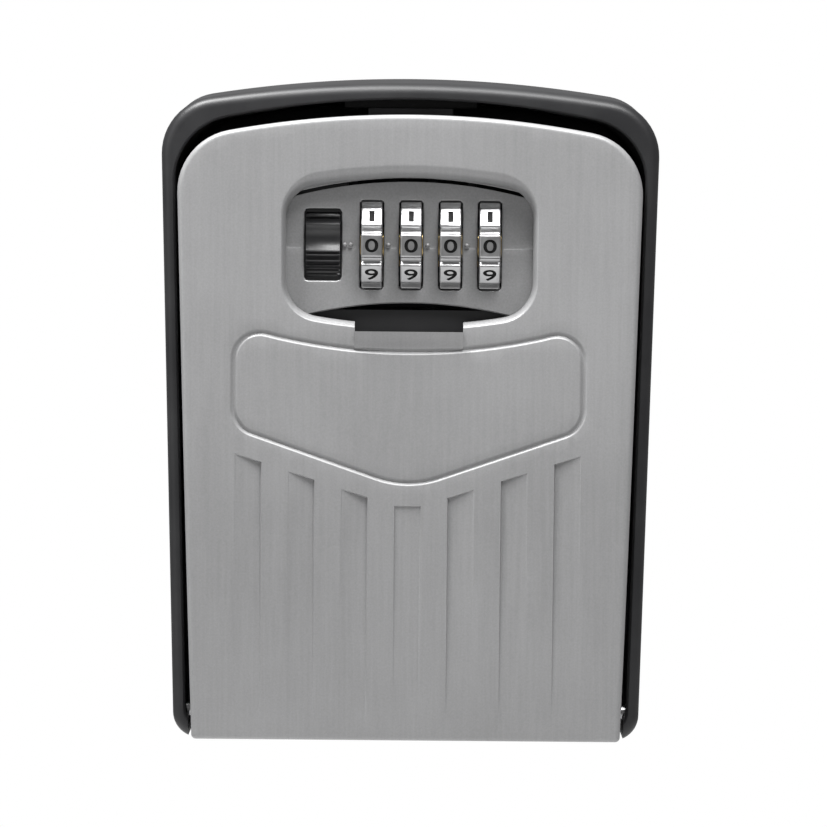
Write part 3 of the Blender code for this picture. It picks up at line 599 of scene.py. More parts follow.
def makeStudio():
    scene = bpy.context.scene
    scene.view_settings.view_transform = "Standard"
    world = bpy.data.worlds.new("studio")
    world.use_nodes = True
    sky = NodeTree(world.node_tree)
    seen = sky.add("ShaderNodeLightPath")  # the backdrop stays white over a dimmer room light
    strength = seen * (studio["backdrop"] - studio["room"]) + studio["room"]
    sky.put(world.node_tree.nodes["Background"], {"Color": (1, 1, 1, 1), "Strength": strength})
    scene.world = world
    for name, (spot, size, power) in studio["lamps"].items():
        data = bpy.data.lights.new(name, "AREA")
        data.size = size
        data.energy = power
        aim = (Vector(studio["lampAim"]) - Vector(spot)).to_track_quat("-Z", "Y")
        added(name, data).matrix_world = Matrix.Translation(spot) @ aim.to_matrix().to_4x4()
    pale = Finish("paleFloor", (0.66, 0.66, 0.66), 0.8)
    mesh = bpy.data.meshes.new("floor")
    near, far, drop = studio["floor"]
    corners = [(near, near, -drop), (-near, near, -drop), (-near, far, -drop), (near, far, -drop)]
    mesh.from_pydata(corners, [], [(0, 1, 2, 3)])
    speckle = pale.noise(300.0, 2.0)
    away = pale.add("ShaderNodeVectorMath", {"operation": "LENGTH"}, {0: pale.spot()}, output=1)
    clear = pale.ramp(away, *studio["floorFade"])
    mesh.materials.append(pale.shade(Roughness=0.75 + speckle * 0.1, Alpha=1.0 - clear))
    added("floor", mesh)


makeCamera()
makeStudio()
print("camera and studio ready")


# the housing: a deep box with an arched top, open at the front

housing = {
    "rear": (51.375, 0.0205, (70.0, 270.0, 11.0), (-70.0, flat, 5.5)),
    "front": (50.9, 0.0256, (68.4, 280.0, 12.0), (-70.0, flat, 5.5)),
    "room": (48.2, 0.0256, (65.1, 190.0, 13.5), (-67.4, flat, 3.6)), "backRound": 0.6, "backInset": 2.4,
    "rimRound": 2.1, "lipBevel": 0.45, "back": 2.5,
    "floorRings": ((0.0, 1.0), (0.3, 0.3), (1.0, 0.0), (2.5, 0.0)),  # inset, and height over the back wall
    "footWallFront": -24.0, "footNotchHalf": 46.0,
    "strike": ((-14.0, 14.0), (-32.4, -30.9), (63.3, 66.6)), "screwHoles": (30.0, 46.0, 2.7, 4.8, 1.8),
}
hinge = {"y": -31.0, "z": -64.5, "hole": 1.8, "knuckle": 4.0, "knuckleLong": 8.0, "knuckleX": 40.0}


def hingeRod(name, radius, x, length, material):
    return rodMesh(name, radius, (x, hinge["y"], hinge["z"]), length, "X", material)


def makeHousing():
    rimFront = boxMm("housing_shell")[0][1]
    rear, front, room = housing["rear"], housing["front"], housing["room"]
    rearLoop = denseLoop(rear)
    frontLoop = denseLoop(front, like=rear)
    skin = Skin()
    rings = []

    def add(shape, inset, depth):
        rings.append(skin.ring(denseLoop(shape, inset, rear), depth))

    for ease, rise in quarter(housing["backRound"], 90, 45, 0):
        add(rear, ease, -rise)
    roundStart = rimFront + housing["rimRound"]
    for share in (0.25, 0.5, 0.75, 1.0):
        depth = roundStart * share
        rings.append(skin.ring(rearLoop + (frontLoop - rearLoop) * depth / rimFront, depth))
    for ease, rise in quarter(housing["rimRound"], *range(15, 91, 15)):
        add(front, ease, rimFront + rise)
    bevel = housing["lipBevel"]
    add(room, -bevel, rimFront)
    add(room, -0.08, rimFront + bevel)
    for depth in (rimFront + bevel + 0.5, -26.0, -14.0):  # these rings keep the walls' shading even
        add(room, 0, depth)
    for inset, rise in housing["floorRings"]:
        add(room, inset, -housing["back"] - rise)
    backLoop = denseLoop(rear, housing["backInset"])
    floorLoop = denseLoop(room, housing["floorRings"][-1][0], rear)
    rings.insert(0, skin.ring(backLoop, 0.0))
    skin.strips(rings)
    skin.fill([rings[0]], keep=lambda m: inside(m, backLoop))
    skin.fill([rings[-1]], keep=lambda m: inside(m, floorLoop))
    shell = skin.build("housing", finishes["black"])
    half = housing["footNotchHalf"]
    black = finishes["black"]
    notch = blockMesh("notch", (-half, half), (rimFront - 6, housing["footWallFront"]), (-74, -62), black)
    cuts = [notch, hingeRod("pinHole", hinge["hole"], 0, 120, black)]
    x, z, radius, sinkRadius, sink = housing["screwHoles"]
    for px in (-x, x):
        for pz in (-z, z):
            middle = -housing["back"] + sink / 2 - 0.5
            cuts.append(rodMesh("hole", radius, (px, -2, pz), 12, "Y", black))
            sunk = (px, middle, pz)
            cuts.append(rodMesh("sink", sinkRadius + 0.5, sunk, sink + 1, "Y", black, radius - 0.5))
    # the strike takes the near-black figure fill, darker than the housing's black paint, as painted shade so
    # it reads as shadow in the gap over the door
    strike = beveled(blockMesh("strike", *housing["strike"], finishes["figures"]), 0.4)
    shell = carved(shell, [("UNION", strike), *(("DIFFERENCE", cut) for cut in cuts)])
    return place(shell, "housing", "housing_paint", "housing_shell")


# the door: one shell with its window, pull lip, shield groove and flutes

door = {
    "outline": (47.05, 0.0286, (61.85, 205.0, 13.0), (-69.5, flat, 1.0)), "wall": 2.4, "edgeRound": 1.1,
    "leanFrom": 5.0, "leanDepth": 4.7, "window": (26.6, 0.006, (51.6, 118.0, 9.0), (17.0, 118.0, 8.5)),
    "windowFoot": (25.6, 0.004, (48.7, 118.0, 7.0), (18.2, 118.0, 7.5)), "collar": 1.9,
    "filletAngles": (0, 2, 4, 6, 8, 10, 13, 17, 22, 28, 36, 46, 60, 75, 90), "sharp": 17,
    "gridStep": 2.3, "pullHalf": 11.3, "pullFoot": 13.45, "pullTop": 16.9,
    "pullGap": [(-49.0, 16.8), (-41.0, 15.9), (-41.0, 19.8), (-49.0, 19.8)], "pullRise": 1.2,
    "bosses": ((-31.8, 31.8), (25.0, 52.0)), "bossRadius": 3.4, "latchSlot": ((-9.6, 9.6), (56, 66)),
    "latchSlotFront": -30.7,
}
shield = {
    "half": 36.4, "top": 12.7, "shoulder": 18.0, "side": -3.2, "apex": -15.8, "groove": 0.82,
    "depth": 0.52, "steps": 9, "corner": 5.5, "point": 20.0, "arcEnd": 9,
}
flutes = {
    "count": 7, "pitch": 11.1, "width": 5.6, "top": -19.5, "slope": 0.325, "foot": -66.0, "depth": 0.75,
    "wall": 0.25,  # what follows: shares of the depth, and how it fades downwards
    "shallow": 0.12, "middle": 0.4, "fade": 0.8,
}
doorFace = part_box("door_shell")[0].y / mm + door["pullRise"]
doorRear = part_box("door_shell")[1].y / mm
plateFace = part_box("dial_plate")[0].y / mm


def faceDepth(z):
    below = np.clip(door["leanFrom"] - np.asarray(z, float), 0, None) / (door["leanFrom"] + 70.0)
    return doorFace + door["leanDepth"] * below**2


def shieldLoop():
    half, top, fall = shield["half"], shield["top"], shield["shoulder"] - shield["top"]
    side, corner, reach = shield["side"], shield["corner"], half - shield["arcEnd"]
    arc = [(x, top + fall * (x / half) ** 2, 0) for x in np.linspace(reach, -reach, 40)]
    corners = [(half, side, corner), (half, top + fall, corner), *arc, (-half, top + fall, corner)]
    corners += [(-half, side, corner), (0.0, shield["apex"], shield["point"])]
    return resampled(roundedLoop(corners), 420)


def fluteLoops(number):
    # the outer and inner loop of one flute, and the depth of the inner one
    middle = (number - (flutes["count"] - 1) / 2) * flutes["pitch"]
    half = flutes["width"] / 2
    inner = 0 if middle == 0 else -math.copysign(1, middle)
    loops = []
    for ease in (0.0, flutes["wall"]):
        left, right = middle - half + ease, middle + half - ease
        tops = [flutes["top"] + flutes["slope"] * max(0, abs(x) - 3) - ease for x in (left, right)]
        foot = flutes["foot"] + ease
        corners = [(left, foot), (right, foot), (right, tops[1]), (left, tops[0])]
        points = []
        for i, count in enumerate((5, 24, 5, 24)):  # points along each side
            start, end = np.array(corners[i]), np.array(corners[(i + 1) % 4])
            points += [start + (end - start) * k / count for k in range(count)]
        loops.append(np.array(points))
    return middle, inner, loops[0], loops[1]


def fluteDepth(points, middle, inner):
    x, z = points[:, 0], points[:, 1]
    top = flutes["top"] + flutes["slope"] * np.clip(np.abs(x) - 3, 0, None)
    down = np.clip((top - z) / (top - flutes["foot"]), 0, 1)
    across = 0.5 + inner * (x - middle) / flutes["width"]
    shallow = flutes["shallow"]
    share = flutes["middle"] if inner == 0 else shallow + (1 - shallow) * np.clip(across, 0, 1)
    return flutes["depth"] * share * (1 - down) ** flutes["fade"]


def makeDoor():
    skin = Skin()
    outline, wall, ease = door["outline"], door["wall"], door["edgeRound"]

    def edgeRing(inset, depth):
        loop = denseLoop(outline, inset)
        return skin.ring(loop, depth(loop[:, 1]) if callable(depth) else depth)

    rings = [
        edgeRing(wall + 1.0, lambda z: faceDepth(z) + wall),
        edgeRing(wall + 0.3, lambda z: faceDepth(z) + wall + 0.3),
        edgeRing(wall, lambda z: faceDepth(z) + wall + 1.0),
        edgeRing(wall, doorRear - 0.3),
        edgeRing(wall - 0.3, doorRear),
        edgeRing(0.3, doorRear),
        edgeRing(0.0, doorRear - 0.3),
        edgeRing(0.0, lambda z: (faceDepth(z) + doorRear) / 2),
    ]
    for inset, rise in quarter(ease, *range(0, 91, 15)):
        rings.append(edgeRing(inset, lambda z, rise=rise: faceDepth(z) + rise))
    skin.strips(rings)

    def lay(loop, dip=0):
        return skin.ring(loop, faceDepth(loop[:, 1]) + dip)

    mouth = denseLoop(door["window"], step=0.8)
    throat = denseLoop(door["windowFoot"], like=door["window"], step=0.8)
    seat = plateFace - 0.3
    windowRings = []
    for a in door["filletAngles"]:
        a = math.radians(a)
        loop = mouth + (throat - mouth) * math.sin(a)
        depth = faceDepth(mouth[:, 1]) * math.cos(a) + seat * (1 - math.cos(a))
        windowRings.append(skin.ring(loop, depth))
    collar = denseLoop(door["windowFoot"], -door["collar"], door["window"], step=0.8)
    windowRings.append(skin.ring(collar, seat))
    windowRings.append(lay(collar, wall))
    skin.strips(windowRings)

    base = shieldLoop()
    grooveRings = []
    steps = shield["steps"]
    for k in range(-steps, steps + 1):
        share = k / steps
        loop = offsetLoop(base, -share * shield["groove"])
        grooveRings.append(lay(loop, shield["depth"] * math.cos(share * math.pi / 2) ** 2))
    skin.strips(grooveRings)

    bands = [(offsetLoop(base, shield["groove"]), offsetLoop(base, -shield["groove"]))]
    loops = [rings[-1], windowRings[0], grooveRings[0], grooveRings[-1]]
    floors = []
    for number in range(flutes["count"]):
        middle, inner, outer, floor = fluteLoops(number)
        first, second = lay(outer), lay(floor, fluteDepth(floor, middle, inner))
        skin.strip(first, second)
        loops += [first, second]
        bands.append((outer, floor))
        floors.append((floor, middle, inner))

    edge = denseLoop(outline, ease)
    step = door["gridStep"]
    grid = np.array([(x, z) for x in np.arange(-46, 46.1, step) for z in np.arange(-68, 61, step)])
    taken = np.array([(skin.points[k][0], skin.points[k][2]) for loop in loops for k in loop])
    grid = grid[inside(grid, edge) & ~inside(grid, mouth) & (nearest(grid, taken) > 0.9)]
    grid = grid[~(inside(grid, bands[0][0]) & ~inside(grid, bands[0][1]))]
    depths = faceDepth(grid[:, 1])
    for floor, middle, inner in floors:
        within = inside(grid, floor)
        depths[within] += fluteDepth(grid[within], middle, inner)
    lines = [[k] for k in skin.ring(grid, depths)]

    def onFace(middles):
        good = inside(middles, edge) & ~inside(middles, mouth)
        for outer, inner in bands:
            good &= ~(inside(middles, outer) & ~inside(middles, inner))
        return good

    skin.fill(loops, lines, onFace)
    rearEdge = denseLoop(outline, wall + 1.0)
    grid = grid[inside(grid, rearEdge) & ~inside(grid, collar)]
    taken = np.vstack([rearEdge, collar])
    grid = grid[nearest(grid, taken) > 1.0]
    lines = [[k] for k in lay(grid, wall)]
    skin.fill([rings[0], windowRings[-1]], lines, lambda m: inside(m, rearEdge) & ~inside(m, collar))
    shell = skin.build("door", finishes["silver"], door["sharp"])

    foot, top, rise = door["pullFoot"], door["pullTop"], door["pullRise"]
    profile = [(doorFace + 1.2, top - 0.35), (doorFace + 1.2, foot)]
    for z in np.linspace(foot, top, 12):
        profile.append((doorFace - 0.02 - (rise - 0.05) * ((z - foot) / (top - foot)) ** 1.9, z))
    silverFinish, half = finishes["silver"], door["pullHalf"]
    pull = prismMesh("pull", profile, -half, half, "X", silverFinish)
    gap = prismMesh("gap", door["pullGap"], -half, half, "X", silverFinish)
    joins = [("DIFFERENCE", gap), ("UNION", pull)]
    for x in (-hinge["knuckleX"], hinge["knuckleX"]):
        knuckle = hingeRod("knuckle", hinge["knuckle"], x, hinge["knuckleLong"], silverFinish)
        joins.append(("UNION", knuckle))
    bossFoot, bossTop = doorFace + wall - 0.6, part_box("lock_case")[0].y / mm - 0.3
    bossMiddle, bossLength = (bossFoot + bossTop) / 2, bossTop - bossFoot
    for x in door["bosses"][0]:
        for z in door["bosses"][1]:
            boss = rodMesh("boss", door["bossRadius"], (x, bossMiddle, z), bossLength, "Y", silverFinish)
            joins.append(("UNION", boss))
    across, upright = door["latchSlot"]
    slot = blockMesh("slot", across, (door["latchSlotFront"], doorRear + 2), upright, silverFinish)
    pinHole = hingeRod("pinHole", hinge["hole"], 0, 120, silverFinish)
    shell = carved(shell, [*joins, ("DIFFERENCE", slot), ("DIFFERENCE", pinHole)], door["sharp"])
    return place(shell, "door", "door_paint", "door_shell")


# the dial plate: slightly folded along the figures, with eased slots

plate = {
    "outline": (28.2, (51.4, 118.0), (22.6, 88.0)), "thick": 1.4, "ease": 0.35, "fold": 34.1,
    "foldDepth": 0.95, "foldReach": 13.0, "foldLine": 0.3, "foldLineDepth": 0.09,
    "foldSpans": ((-26.8, -23.0), (-13.0, -11.3), (-4.9, -2.8), (3.4, 5.4), (11.6, 13.6), (19.8, 26.8)),
    "slotHalf": 2.5, "slotReach": 9.3, "wheels": (-7.9, 0.3, 8.5, 16.7), "middle": 34.7,
    "sliderX": -18.1, "sliderWindow": (3.9, 7.5),
    "gap": (47.95, 48.7, 92.0, 24.4),  # foot, top, radius and half width of the arc gap
    "gapEase": 0.08, "rimEase": 0.25, "pips": (-13.55, -12.3, -4.45, 3.75, 11.95), "pipSize": 0.5,
    "pipSink": 0.25, "pipRise": 0.6,
}


def plateDepth(points):
    away = np.clip(np.abs(points[:, 1] - plate["fold"]) / plate["foldReach"], 0, 1)
    line = np.clip(1 - np.abs(points[:, 1] - plate["fold"]) / plate["foldLine"], 0, 1)
    return plateFace + plate["foldDepth"] * (1 - away) + plate["foldLineDepth"] * line


def boxLoop(x, z, halfX, halfZ, radius):
    signs = ((-1, -1), (1, -1), (1, 1), (-1, 1))
    loop = roundedLoop([(x + a * halfX, z + b * halfZ, radius) for a, b in signs], 6)
    return resampled(loop, int(4 * (halfX + halfZ) / 1.6) * 2)


def bowedLoop(half, count, foot, footArc, top, topArc):
    xs = np.linspace(-half, half, count)
    lower = [(x, foot - x * x / (2 * footArc)) for x in xs]
    return np.array(lower + [(x, top - x * x / (2 * topArc)) for x in xs[::-1]])


def makePlate():
    half, (top, topArc), (foot, footArc) = plate["outline"]
    rim = resampled(bowedLoop(half, 41, foot, footArc, top, topArc), 150)
    low, high, arc, reach = plate["gap"]
    holes = [(bowedLoop(reach, 33, low, arc, high, arc), plate["gapEase"])]
    halfX, halfZ = plate["sliderWindow"]
    holes.append((boxLoop(plate["sliderX"], plate["middle"], halfX, halfZ, 0.7), plate["ease"]))
    for x in plate["wheels"]:
        holes.append((boxLoop(x, plate["middle"], plate["slotHalf"], plate["slotReach"], 0.5), plate["ease"]))
    skin = Skin()
    rear = plateFace + plate["thick"]
    fronts, backs, bounds = [], [], []
    for loop, ease in holes:
        rings = []
        for sunk, out in quarter(ease, 0, 22, 45, 68, 90):
            wide = offsetLoop(loop, out)
            rings.append(skin.ring(wide, plateDepth(wide) + sunk))
        rings.append(skin.ring(loop, rear))
        skin.strips(rings)
        fronts.append(rings[0])
        backs.append(rings[-1])
        bounds.append((offsetLoop(loop, ease), loop))
    inner = offsetLoop(rim, -plate["rimEase"])
    outer = [skin.ring(inner, plateDepth(inner)), skin.ring(rim, plateDepth(rim) + plate["rimEase"])]
    outer.append(skin.ring(rim, rear))
    skin.strips(outer)
    grid = np.array([(x, z) for x in np.arange(-27, 27.1, 1.5) for z in np.arange(18.1, 51, 2.0)])
    taken = np.vstack([inner, *(wide for wide, _ in bounds)])
    clear = (nearest(grid, taken) > 0.6) & (np.abs(grid[:, 1] - plate["fold"]) > 0.6)
    grid = grid[inside(grid, inner) & clear]
    for wide, _ in bounds:
        grid = grid[~inside(grid, wide)]
    lines = [[k] for k in skin.ring(grid, plateDepth(grid))]
    for start, end in plate["foldSpans"]:
        for z in (-plate["foldLine"], 0.0, plate["foldLine"]):
            span = np.array([(x, plate["fold"] + z) for x in np.linspace(start, end, 5)])
            lines.append(skin.ring(span, plateDepth(span)))

    def onFront(middles):
        return inside(middles, inner) & ~np.any([inside(middles, wide) for wide, _ in bounds], axis=0)

    def onRear(middles):
        return inside(middles, rim) & ~np.any([inside(middles, loop) for _, loop in bounds], axis=0)

    skin.fill([outer[0], *fronts], lines, onFront)
    skin.fill([outer[-1], *backs], (), onRear)
    obj = skin.build("dialPlate", finishes["plate"], sharp=32)
    return place(obj, "door", "door_paint", "dial_plate")


# geometry nodes

class Nodes(NodeTree):
    # a geometry node tree with named numbers, run on an empty mesh and returned as an object
    def __init__(self, name, numbers=None):
        group = bpy.data.node_groups.new(name, "GeometryNodeTree")
        group.interface.new_socket("Geometry", in_out="OUTPUT", socket_type="NodeSocketGeometry")
        self.ids = {}
        for key, value in (numbers or {}).items():
            socket = group.interface.new_socket(key, in_out="INPUT", socket_type="NodeSocketFloat")
            self.ids[key] = (socket.identifier, value)
        super().__init__(group)
        self.start = group.nodes.new("NodeGroupInput")

    def number(self, key):
        return Wire(self.tree, self.start.outputs[key])

    def vector(self, **axes):
        return self.add("ShaderNodeCombineXYZ", inputs=axes)

    def vectorMath(self, operation, first, second):
        return self.add("ShaderNodeVectorMath", {"operation": operation}, {0: first, 1: second})

    def join(self, *parts):
        node = self.tree.nodes.new("GeometryNodeJoinGeometry")
        for part in parts:
            self.tree.links.new(part.socket, node.inputs[0])
        return Wire(self.tree, node.outputs[0])

    def move(self, geometry, place=(0, 0, 0), turn=(0, 0, 0), scale=(1, 1, 1)):
        inputs = {"Geometry": geometry, "Translation": place, "Rotation": turn, "Scale": scale}
        return self.add("GeometryNodeTransform", inputs=inputs)

    def tube(self, curve, radius, sides=12):
        ring = self.add("GeometryNodeCurvePrimitiveCircle", Radius=radius, Resolution=sides)
        return self.add("GeometryNodeCurveToMesh", Curve=curve, Profile_Curve=ring, Fill_Caps=True)

    def made(self, name, result, material, sharp=38):
        real = self.add("GeometryNodeRealizeInstances", Geometry=result)
        final = self.add("GeometryNodeSetMaterial", Geometry=real, Material=material)
        end = self.tree.nodes.new("NodeGroupOutput")
        self.tree.links.new(final.socket, end.inputs[0])
        holder = added(name, bpy.data.meshes.new(name))
        change = holder.modifiers.new("nodes", "NODES")
        change.node_group = self.tree
        for identifier, value in self.ids.values():
            change[identifier] = value
        obj = evaluated(holder)
        mesh = obj.data
        bpy.data.objects.remove(obj)
        return finishMesh(name, mesh, material, sharp, 0.0005)


# number wheels: ten flat pads with an engraved figure each

wheel = {
    "axis": (-37.1, 34.7), "half": 2.25, "apothem": 10.3, "padHalfAngle": 13.2, "padRadius": 0.45,
    "groove": 9.5, "grooveRadius": 0.3, "grooveSlope": 2.2, "bore": 3.9, "boreEase": 0.2, "ease": 0.4,
    "web": ((7.2, 0.0), (7.6, 0.25), (8.4, 0.25)),  # radius, and how far the side is sunk there
    "figureHigh": 2.85, "figureWide": 2.8, "oneWide": 1.25, "bold": 0.07, "engrave": 0.22,
}


def padLoop(ease):
    pad, slope = wheel["padHalfAngle"], wheel["grooveSlope"]
    corner = wheel["apothem"] / math.cos(math.radians(pad))
    stops = [(-pad, corner, wheel["padRadius"]), (pad, corner, wheel["padRadius"])]
    for angle in (pad + slope, 36 - pad - slope):
        stops.append((angle, wheel["groove"], wheel["grooveRadius"]))
    corners = []
    for k in range(10):
        for angle, reach, radius in stops:
            a = math.radians(36 * k + angle)
            corners.append((reach * math.cos(a), reach * math.sin(a), radius))
    loop = resampled(roundedLoop(corners, 3), 400)
    return offsetLoop(loop, -ease) if ease else loop


def wheelBlank():
    y, z = wheel["axis"]
    skin = Skin()
    half, ease, bore, boreEase = wheel["half"], wheel["ease"], wheel["bore"], wheel["boreEase"]
    rim = padLoop(0)
    angles = np.arctan2(rim[:, 1], rim[:, 0])
    circle = np.column_stack([np.cos(angles), np.sin(angles)])

    def ring(loop, x):
        first = len(skin.points)
        skin.points += [(x, y - u, z + v) for u, v in loop]
        return list(range(first, len(skin.points)))

    web = [(bore + boreEase, 0.0), *wheel["web"]]
    rings = [ring(circle * radius, sunk - half) for radius, sunk in web]
    for sunk, inset in quarter(ease, *range(0, 91, 18)):
        rings.append(ring(padLoop(inset), -half + sunk))
    rings.append(ring(rim, 0))
    for sunk, inset in quarter(ease, *range(90, -1, -18)):
        rings.append(ring(padLoop(inset), half - sunk))
    rings += [ring(circle * radius, half - sunk) for radius, sunk in reversed(web)]
    rings += [ring(circle * bore, half - boreEase), ring(circle * bore, -half + boreEase)]
    skin.strips([*rings, rings[0]])
    return skin.build("wheelBlank", finishes["chrome"], sharp=30)


def figureCutter():
    # the ten figures lie on the pads, and a solidify modifier gives them their depth
    nodes = Nodes("figures", {"bold": wheel["bold"] * mm, "reach": wheel["apothem"] * mm})
    y, z = wheel["axis"]
    parts = []
    for k in range(10):
        wide = wheel["oneWide"] if k == 1 else wheel["figureWide"]
        words = nodes.add("GeometryNodeStringToCurves", String=str(k), Size=0.004)
        real = nodes.add("GeometryNodeRealizeInstances", Geometry=words)
        drawn = nodes.add("GeometryNodeFillCurve", Curve=real)
        low = nodes.add("GeometryNodeBoundBox", Geometry=drawn, output="Min")
        high = Wire(nodes.tree, low.socket.node.outputs["Max"])
        span = nodes.vectorMath("SUBTRACT", high, low)
        middle = nodes.vectorMath("MULTIPLY", nodes.vectorMath("ADD", high, low), (-0.5, -0.5, 0))
        target = ((wide - 2 * wheel["bold"]) * mm, (wheel["figureHigh"] - 2 * wheel["bold"]) * mm, 1.0)
        scale = nodes.vectorMath("DIVIDE", target, nodes.vectorMath("ADD", span, (0, 0, 1.0)))
        shape = nodes.move(nodes.move(real, place=middle), scale=scale)
        shape = nodes.add("GeometryNodeResampleCurve", Curve=shape, Count=48)
        tangent = nodes.add("GeometryNodeInputTangent")
        side = nodes.vectorMath("CROSS_PRODUCT", tangent, (0, 0, 1))
        offset = {0: side, "Scale": nodes.number("bold")}
        side = nodes.add("ShaderNodeVectorMath", {"operation": "SCALE"}, offset)
        if k != 1:
            shape = nodes.add("GeometryNodeSetPosition", Geometry=shape, Offset=side)
        shape = nodes.add("GeometryNodeFillCurve", Curve=shape)
        shape = nodes.move(shape, place=nodes.vector(Z=nodes.number("reach")))
        parts.append(nodes.move(shape, turn=(math.radians(90 - 36 * k), 0, 0)))
    placed = nodes.move(nodes.join(*parts), place=(0, y * mm, z * mm))
    cutter = nodes.made("figureCutter", placed, finishes["figures"])
    thick = cutter.modifiers.new("depth", "SOLIDIFY")
    thick.thickness = 2 * wheel["engrave"] * mm
    thick.offset = 0
    return evaluated(cutter)


def makeWheels():
    blank = carved(wheelBlank(), [("DIFFERENCE", figureCutter())], sharp=30)
    for i, x in enumerate(plate["wheels"]):
        mesh = blank.data.copy()
        mesh.transform(Matrix.Translation((x * mm, 0, 0)))
        number = str(i + 1)
        place(added("wheel" + number, mesh), "wheel_" + number, "bright_chrome", "number_wheel_" + number)
    bpy.data.objects.remove(blank)


# release slider with a scooped thumb rest and grip ribs

slider = {
    "x": -18.1, "baseHalf": 5.2, "thumbHalf": 3.55, "low": 24.6, "high": 51.4, "rear": -40.0,
    "base": -41.4, "gripRear": -41.0,
    "front": [
        (41.5, -41.4), (41.1, -41.9), (40.5, -42.1), (40.1, -41.7), (39.7, -42.3), (39.4, -43.9),
        (39.0, -44.38), (38.5, -44.2), (38.0, -43.7), (37.2, -43.15), (36.2, -42.9), (35.2, -43.0),
        (34.3, -43.4), (33.7, -43.9), (33.3, -44.1), (33.0, -43.5), (32.85, -43.5), (32.6, -44.0),
        (32.3, -43.7), (32.0, -43.0), (31.75, -43.0), (31.4, -43.7), (31.1, -43.4), (30.8, -42.7),
        (30.6, -42.7), (30.3, -43.2), (30.0, -42.7), (29.8, -41.5), (29.5, -41.45), (29.2, -41.65),
        (28.95, -41.5), (28.7, -41.45), (28.4, -41.65), (28.15, -41.5), (27.9, -41.4),
    ],
}


def makeSlider():
    x, half, thumb = slider["x"], slider["baseHalf"], slider["thumbHalf"]
    ends = (slider["low"], slider["high"])
    plastic = finishes["plastic"]
    base = blockMesh("base", (x - half, x + half), (slider["base"], slider["rear"]), ends, plastic)
    base = beveled(base, 0.2)
    outline = [(y, z) for z, y in slider["front"]]
    outline = [(slider["gripRear"], outline[0][1]), *outline, (slider["gripRear"], outline[-1][1])]
    grip = prismMesh("grip", outline, x - thumb, x + thumb, "X", plastic)
    grip = beveled(grip, 0.1, 2, limit=50)
    return place(carved(base, [("UNION", grip)]), "release", "black_plastic", "release_slider")


# screws, springs and pips, by geometry nodes

fastener = {
    "places": (63.6, 27.0), "middle": (0.0, 38.5), "seat": -23.0, "tip": -42.2, "head": (2.6, 1.5),
    "crown": 1.9, "cross": (2.7, 0.6, 1.8), "shank": 1.3,
    "root": 0.2,  # how far the core is under the shank, and the radius of the point
    "point": 1.0,
    "thread": (13.0, 11.0, 0.18, -17.8),  # turns, length, wire and its lower end
    "turnMost": 3.1,
}
coil = {"wire": 0.35, "turns": 7.0, "shaftTurns": 3.0, "keep": 0.865}


def makeScrews():
    nodes = Nodes("screws", {"head": fastener["head"][0] * mm, "shank": fastener["shank"] * mm})
    headHigh, seat, tip = fastener["head"][1] * mm, fastener["seat"] * mm, fastener["tip"] * mm
    crown, root, point = fastener["crown"] * mm, fastener["root"] * mm, fastener["point"] * mm
    head, core = nodes.number("head"), nodes.number("shank") - root
    length = seat - tip

    def solid(kind, z, sizes):
        made = nodes.add("GeometryNodeMesh" + kind, Vertices=36, **sizes)
        return nodes.move(made, place=(0, 0, z))

    parts = [
        solid("Cone", headHigh * 0.5, {"Radius Top": crown, "Radius Bottom": head, "Depth": headHigh * 0.5}),
        solid("Cylinder", headHigh * 0.25, {"Radius": head, "Depth": headHigh * 0.5}),
        solid("Cylinder", -(length - point) / 2, {"Radius": core, "Depth": length - point}),
        solid("Cone", -length, {"Radius Top": core, "Radius Bottom": root, "Depth": point}),
    ]
    joining, cutting = ({"operation": kind, "solver": "EXACT"} for kind in ("UNION", "DIFFERENCE"))
    body = nodes.add("GeometryNodeMeshBoolean", joining, {"Mesh 2": nodes.join(*parts)})
    cut = nodes.add("GeometryNodeMeshBoolean", cutting, {"Mesh 1": body})
    wide, thin, deep = (value * mm for value in fastener["cross"])
    for size in ((wide, thin, deep), (thin, wide, deep)):
        bar = nodes.move(nodes.add("GeometryNodeMeshCube", Size=size), place=(0, 0, headHigh))
        nodes.tree.links.new(bar.socket, cut.socket.node.inputs["Mesh 2"])
    turns, high, wire, foot = fastener["thread"]
    ends = {"Start Radius": core, "End Radius": core}
    spiral = nodes.add("GeometryNodeCurveSpiral", Resolution=14, Rotations=turns, Height=high * mm, **ends)
    thread = nodes.tube(spiral, wire * mm, 5)
    screw = nodes.join(cut, nodes.move(thread, place=(0, 0, foot * mm)))
    wide, high = fastener["places"]
    grid = {"Size X": wide * mm, "Size Y": high * mm, "Vertices X": 2, "Vertices Y": 2}
    grid = nodes.move(nodes.add("GeometryNodeMeshGrid", **grid), turn=(-math.pi / 2, 0, 0))
    x, z = fastener["middle"]
    grid = nodes.move(grid, place=(x * mm, seat, z * mm))
    limits = {2: 0.0, 3: fastener["turnMost"], "Seed": 4}
    spin = nodes.vector(Z=nodes.add("FunctionNodeRandomValue", {"data_type": "FLOAT"}, limits, output=1))
    kind = {"rotation_type": "EULER", "space": "LOCAL"}
    spun = nodes.add("FunctionNodeRotateEuler", kind, {0: (-math.pi / 2, 0, 0), 1: spin})
    placed = nodes.add("GeometryNodeInstanceOnPoints", Points=grid, Instance=screw, Rotation=spun)
    obj = nodes.made("coverScrews", placed, finishes["steel"], 35)
    return place(obj, "door", "plain_steel", *("cover_screw_" + number for number in "1234"))


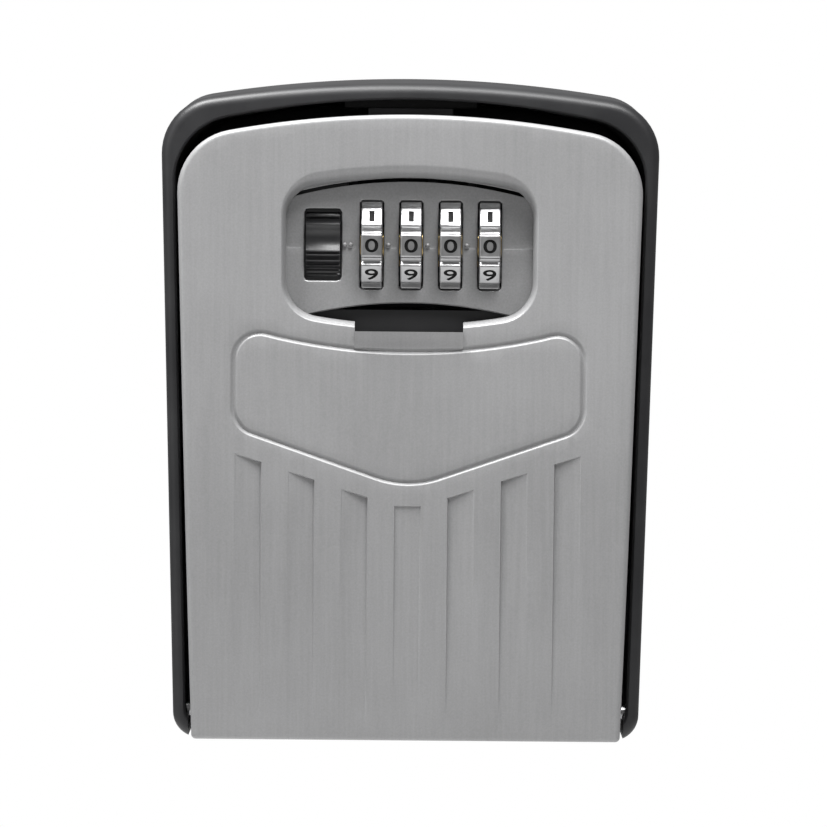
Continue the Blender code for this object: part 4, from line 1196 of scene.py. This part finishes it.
def makeSpring(node, axis, turns, name):
    low, high = boxMm(node)
    along = "XYZ".index(axis)
    wire = coil["wire"]
    wide = min(high[k] - low[k] for k in range(3) if k != along)
    radius = wide / 2 - wire
    length = high[along] - low[along] - 2 * wire
    middle = [(a + b) / 2 for a, b in zip(low, high)]
    middle[along] = low[along] + wire
    nodes = Nodes(name, {"radius": radius * mm, "wire": wire * mm, "turns": turns})
    shape = {"Resolution": 32, "Rotations": nodes.number("turns"), "Height": length * mm}
    shape |= {"Start Radius": nodes.number("radius"), "End Radius": nodes.number("radius")}
    tube = nodes.tube(nodes.add("GeometryNodeCurveSpiral", inputs=shape), nodes.number("wire"))
    turn = (0, math.pi / 2, 0) if axis == "X" else (0, 0, 0)
    tube = nodes.move(tube, place=[v * mm for v in middle], turn=turn)
    return nodes.made(name, tube, finishes["steel"])


def makePips():
    nodes = Nodes("pips", {"size": plate["pipSize"] * mm})
    ball = nodes.add("GeometryNodeMeshUVSphere", Segments=20, Rings=12, Radius=nodes.number("size"))
    y, z = plateFace + plate["foldDepth"] - plate["pipSink"], plate["fold"] + plate["pipRise"]
    parts = [nodes.move(ball, place=(x * mm, y * mm, z * mm)) for x in plate["pips"]]
    obj = nodes.made("pips", nodes.join(*parts), finishes["silver"])
    return place(obj, "door", "door_paint")


# node: body, slot, finish, and the width and steps of its eased edges
easedNodes = {
    "hinge_pin": ("housing", "plain_steel", "steel", 0.3, 2),
    "lock_case": ("door", "black_plastic", "plastic", 0.2, 2),
    "rear_cover": ("door", "black_plastic", "plastic", 0.3, 3),
    "dial_shaft": ("door", "plain_steel", "steel", 0.15, 2),
    "detent_spring": ("door", "plain_steel", "steel", 0.05, 2),
    "lever_rivet": ("door", "plain_steel", "steel", 0.25, 2),
    # the latch bolt takes steel darkened as painted shade for the gap over the door
    "latch_bolt": ("release", "plain_steel", "darkSteel", 0.25, 2),
    "reset_lever": ("reset", "plain_steel", "steel", 0.2, 2),
    **{"wheel_cam_" + number: ("wheel_" + number, "cam_brass", "brass", 0.12, 2) for number in "1234"},
}


def makeInside():
    for node, (body, slot, finish, width, steps) in easedNodes.items():
        softCopy(node, body, slot, finishes[finish], width, steps)
    spring = makeSpring("shaft_spring", "X", coil["shaftTurns"], "shaftSpring")
    place(spring, "door", "plain_steel", "shaft_spring")
    spring = makeSpring("return_spring", "Z", coil["turns"], "returnSpring")
    place(spring, "door", "plain_steel", "return_spring")
    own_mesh(spring)


makeHousing()
print("housing ready")
makeDoor()
print("door ready")
makePlate()
makePips()
print("dial plate ready")
makeWheels()
print("wheels ready")
makeSlider()
makeScrews()
makeInside()
print("lock ready")
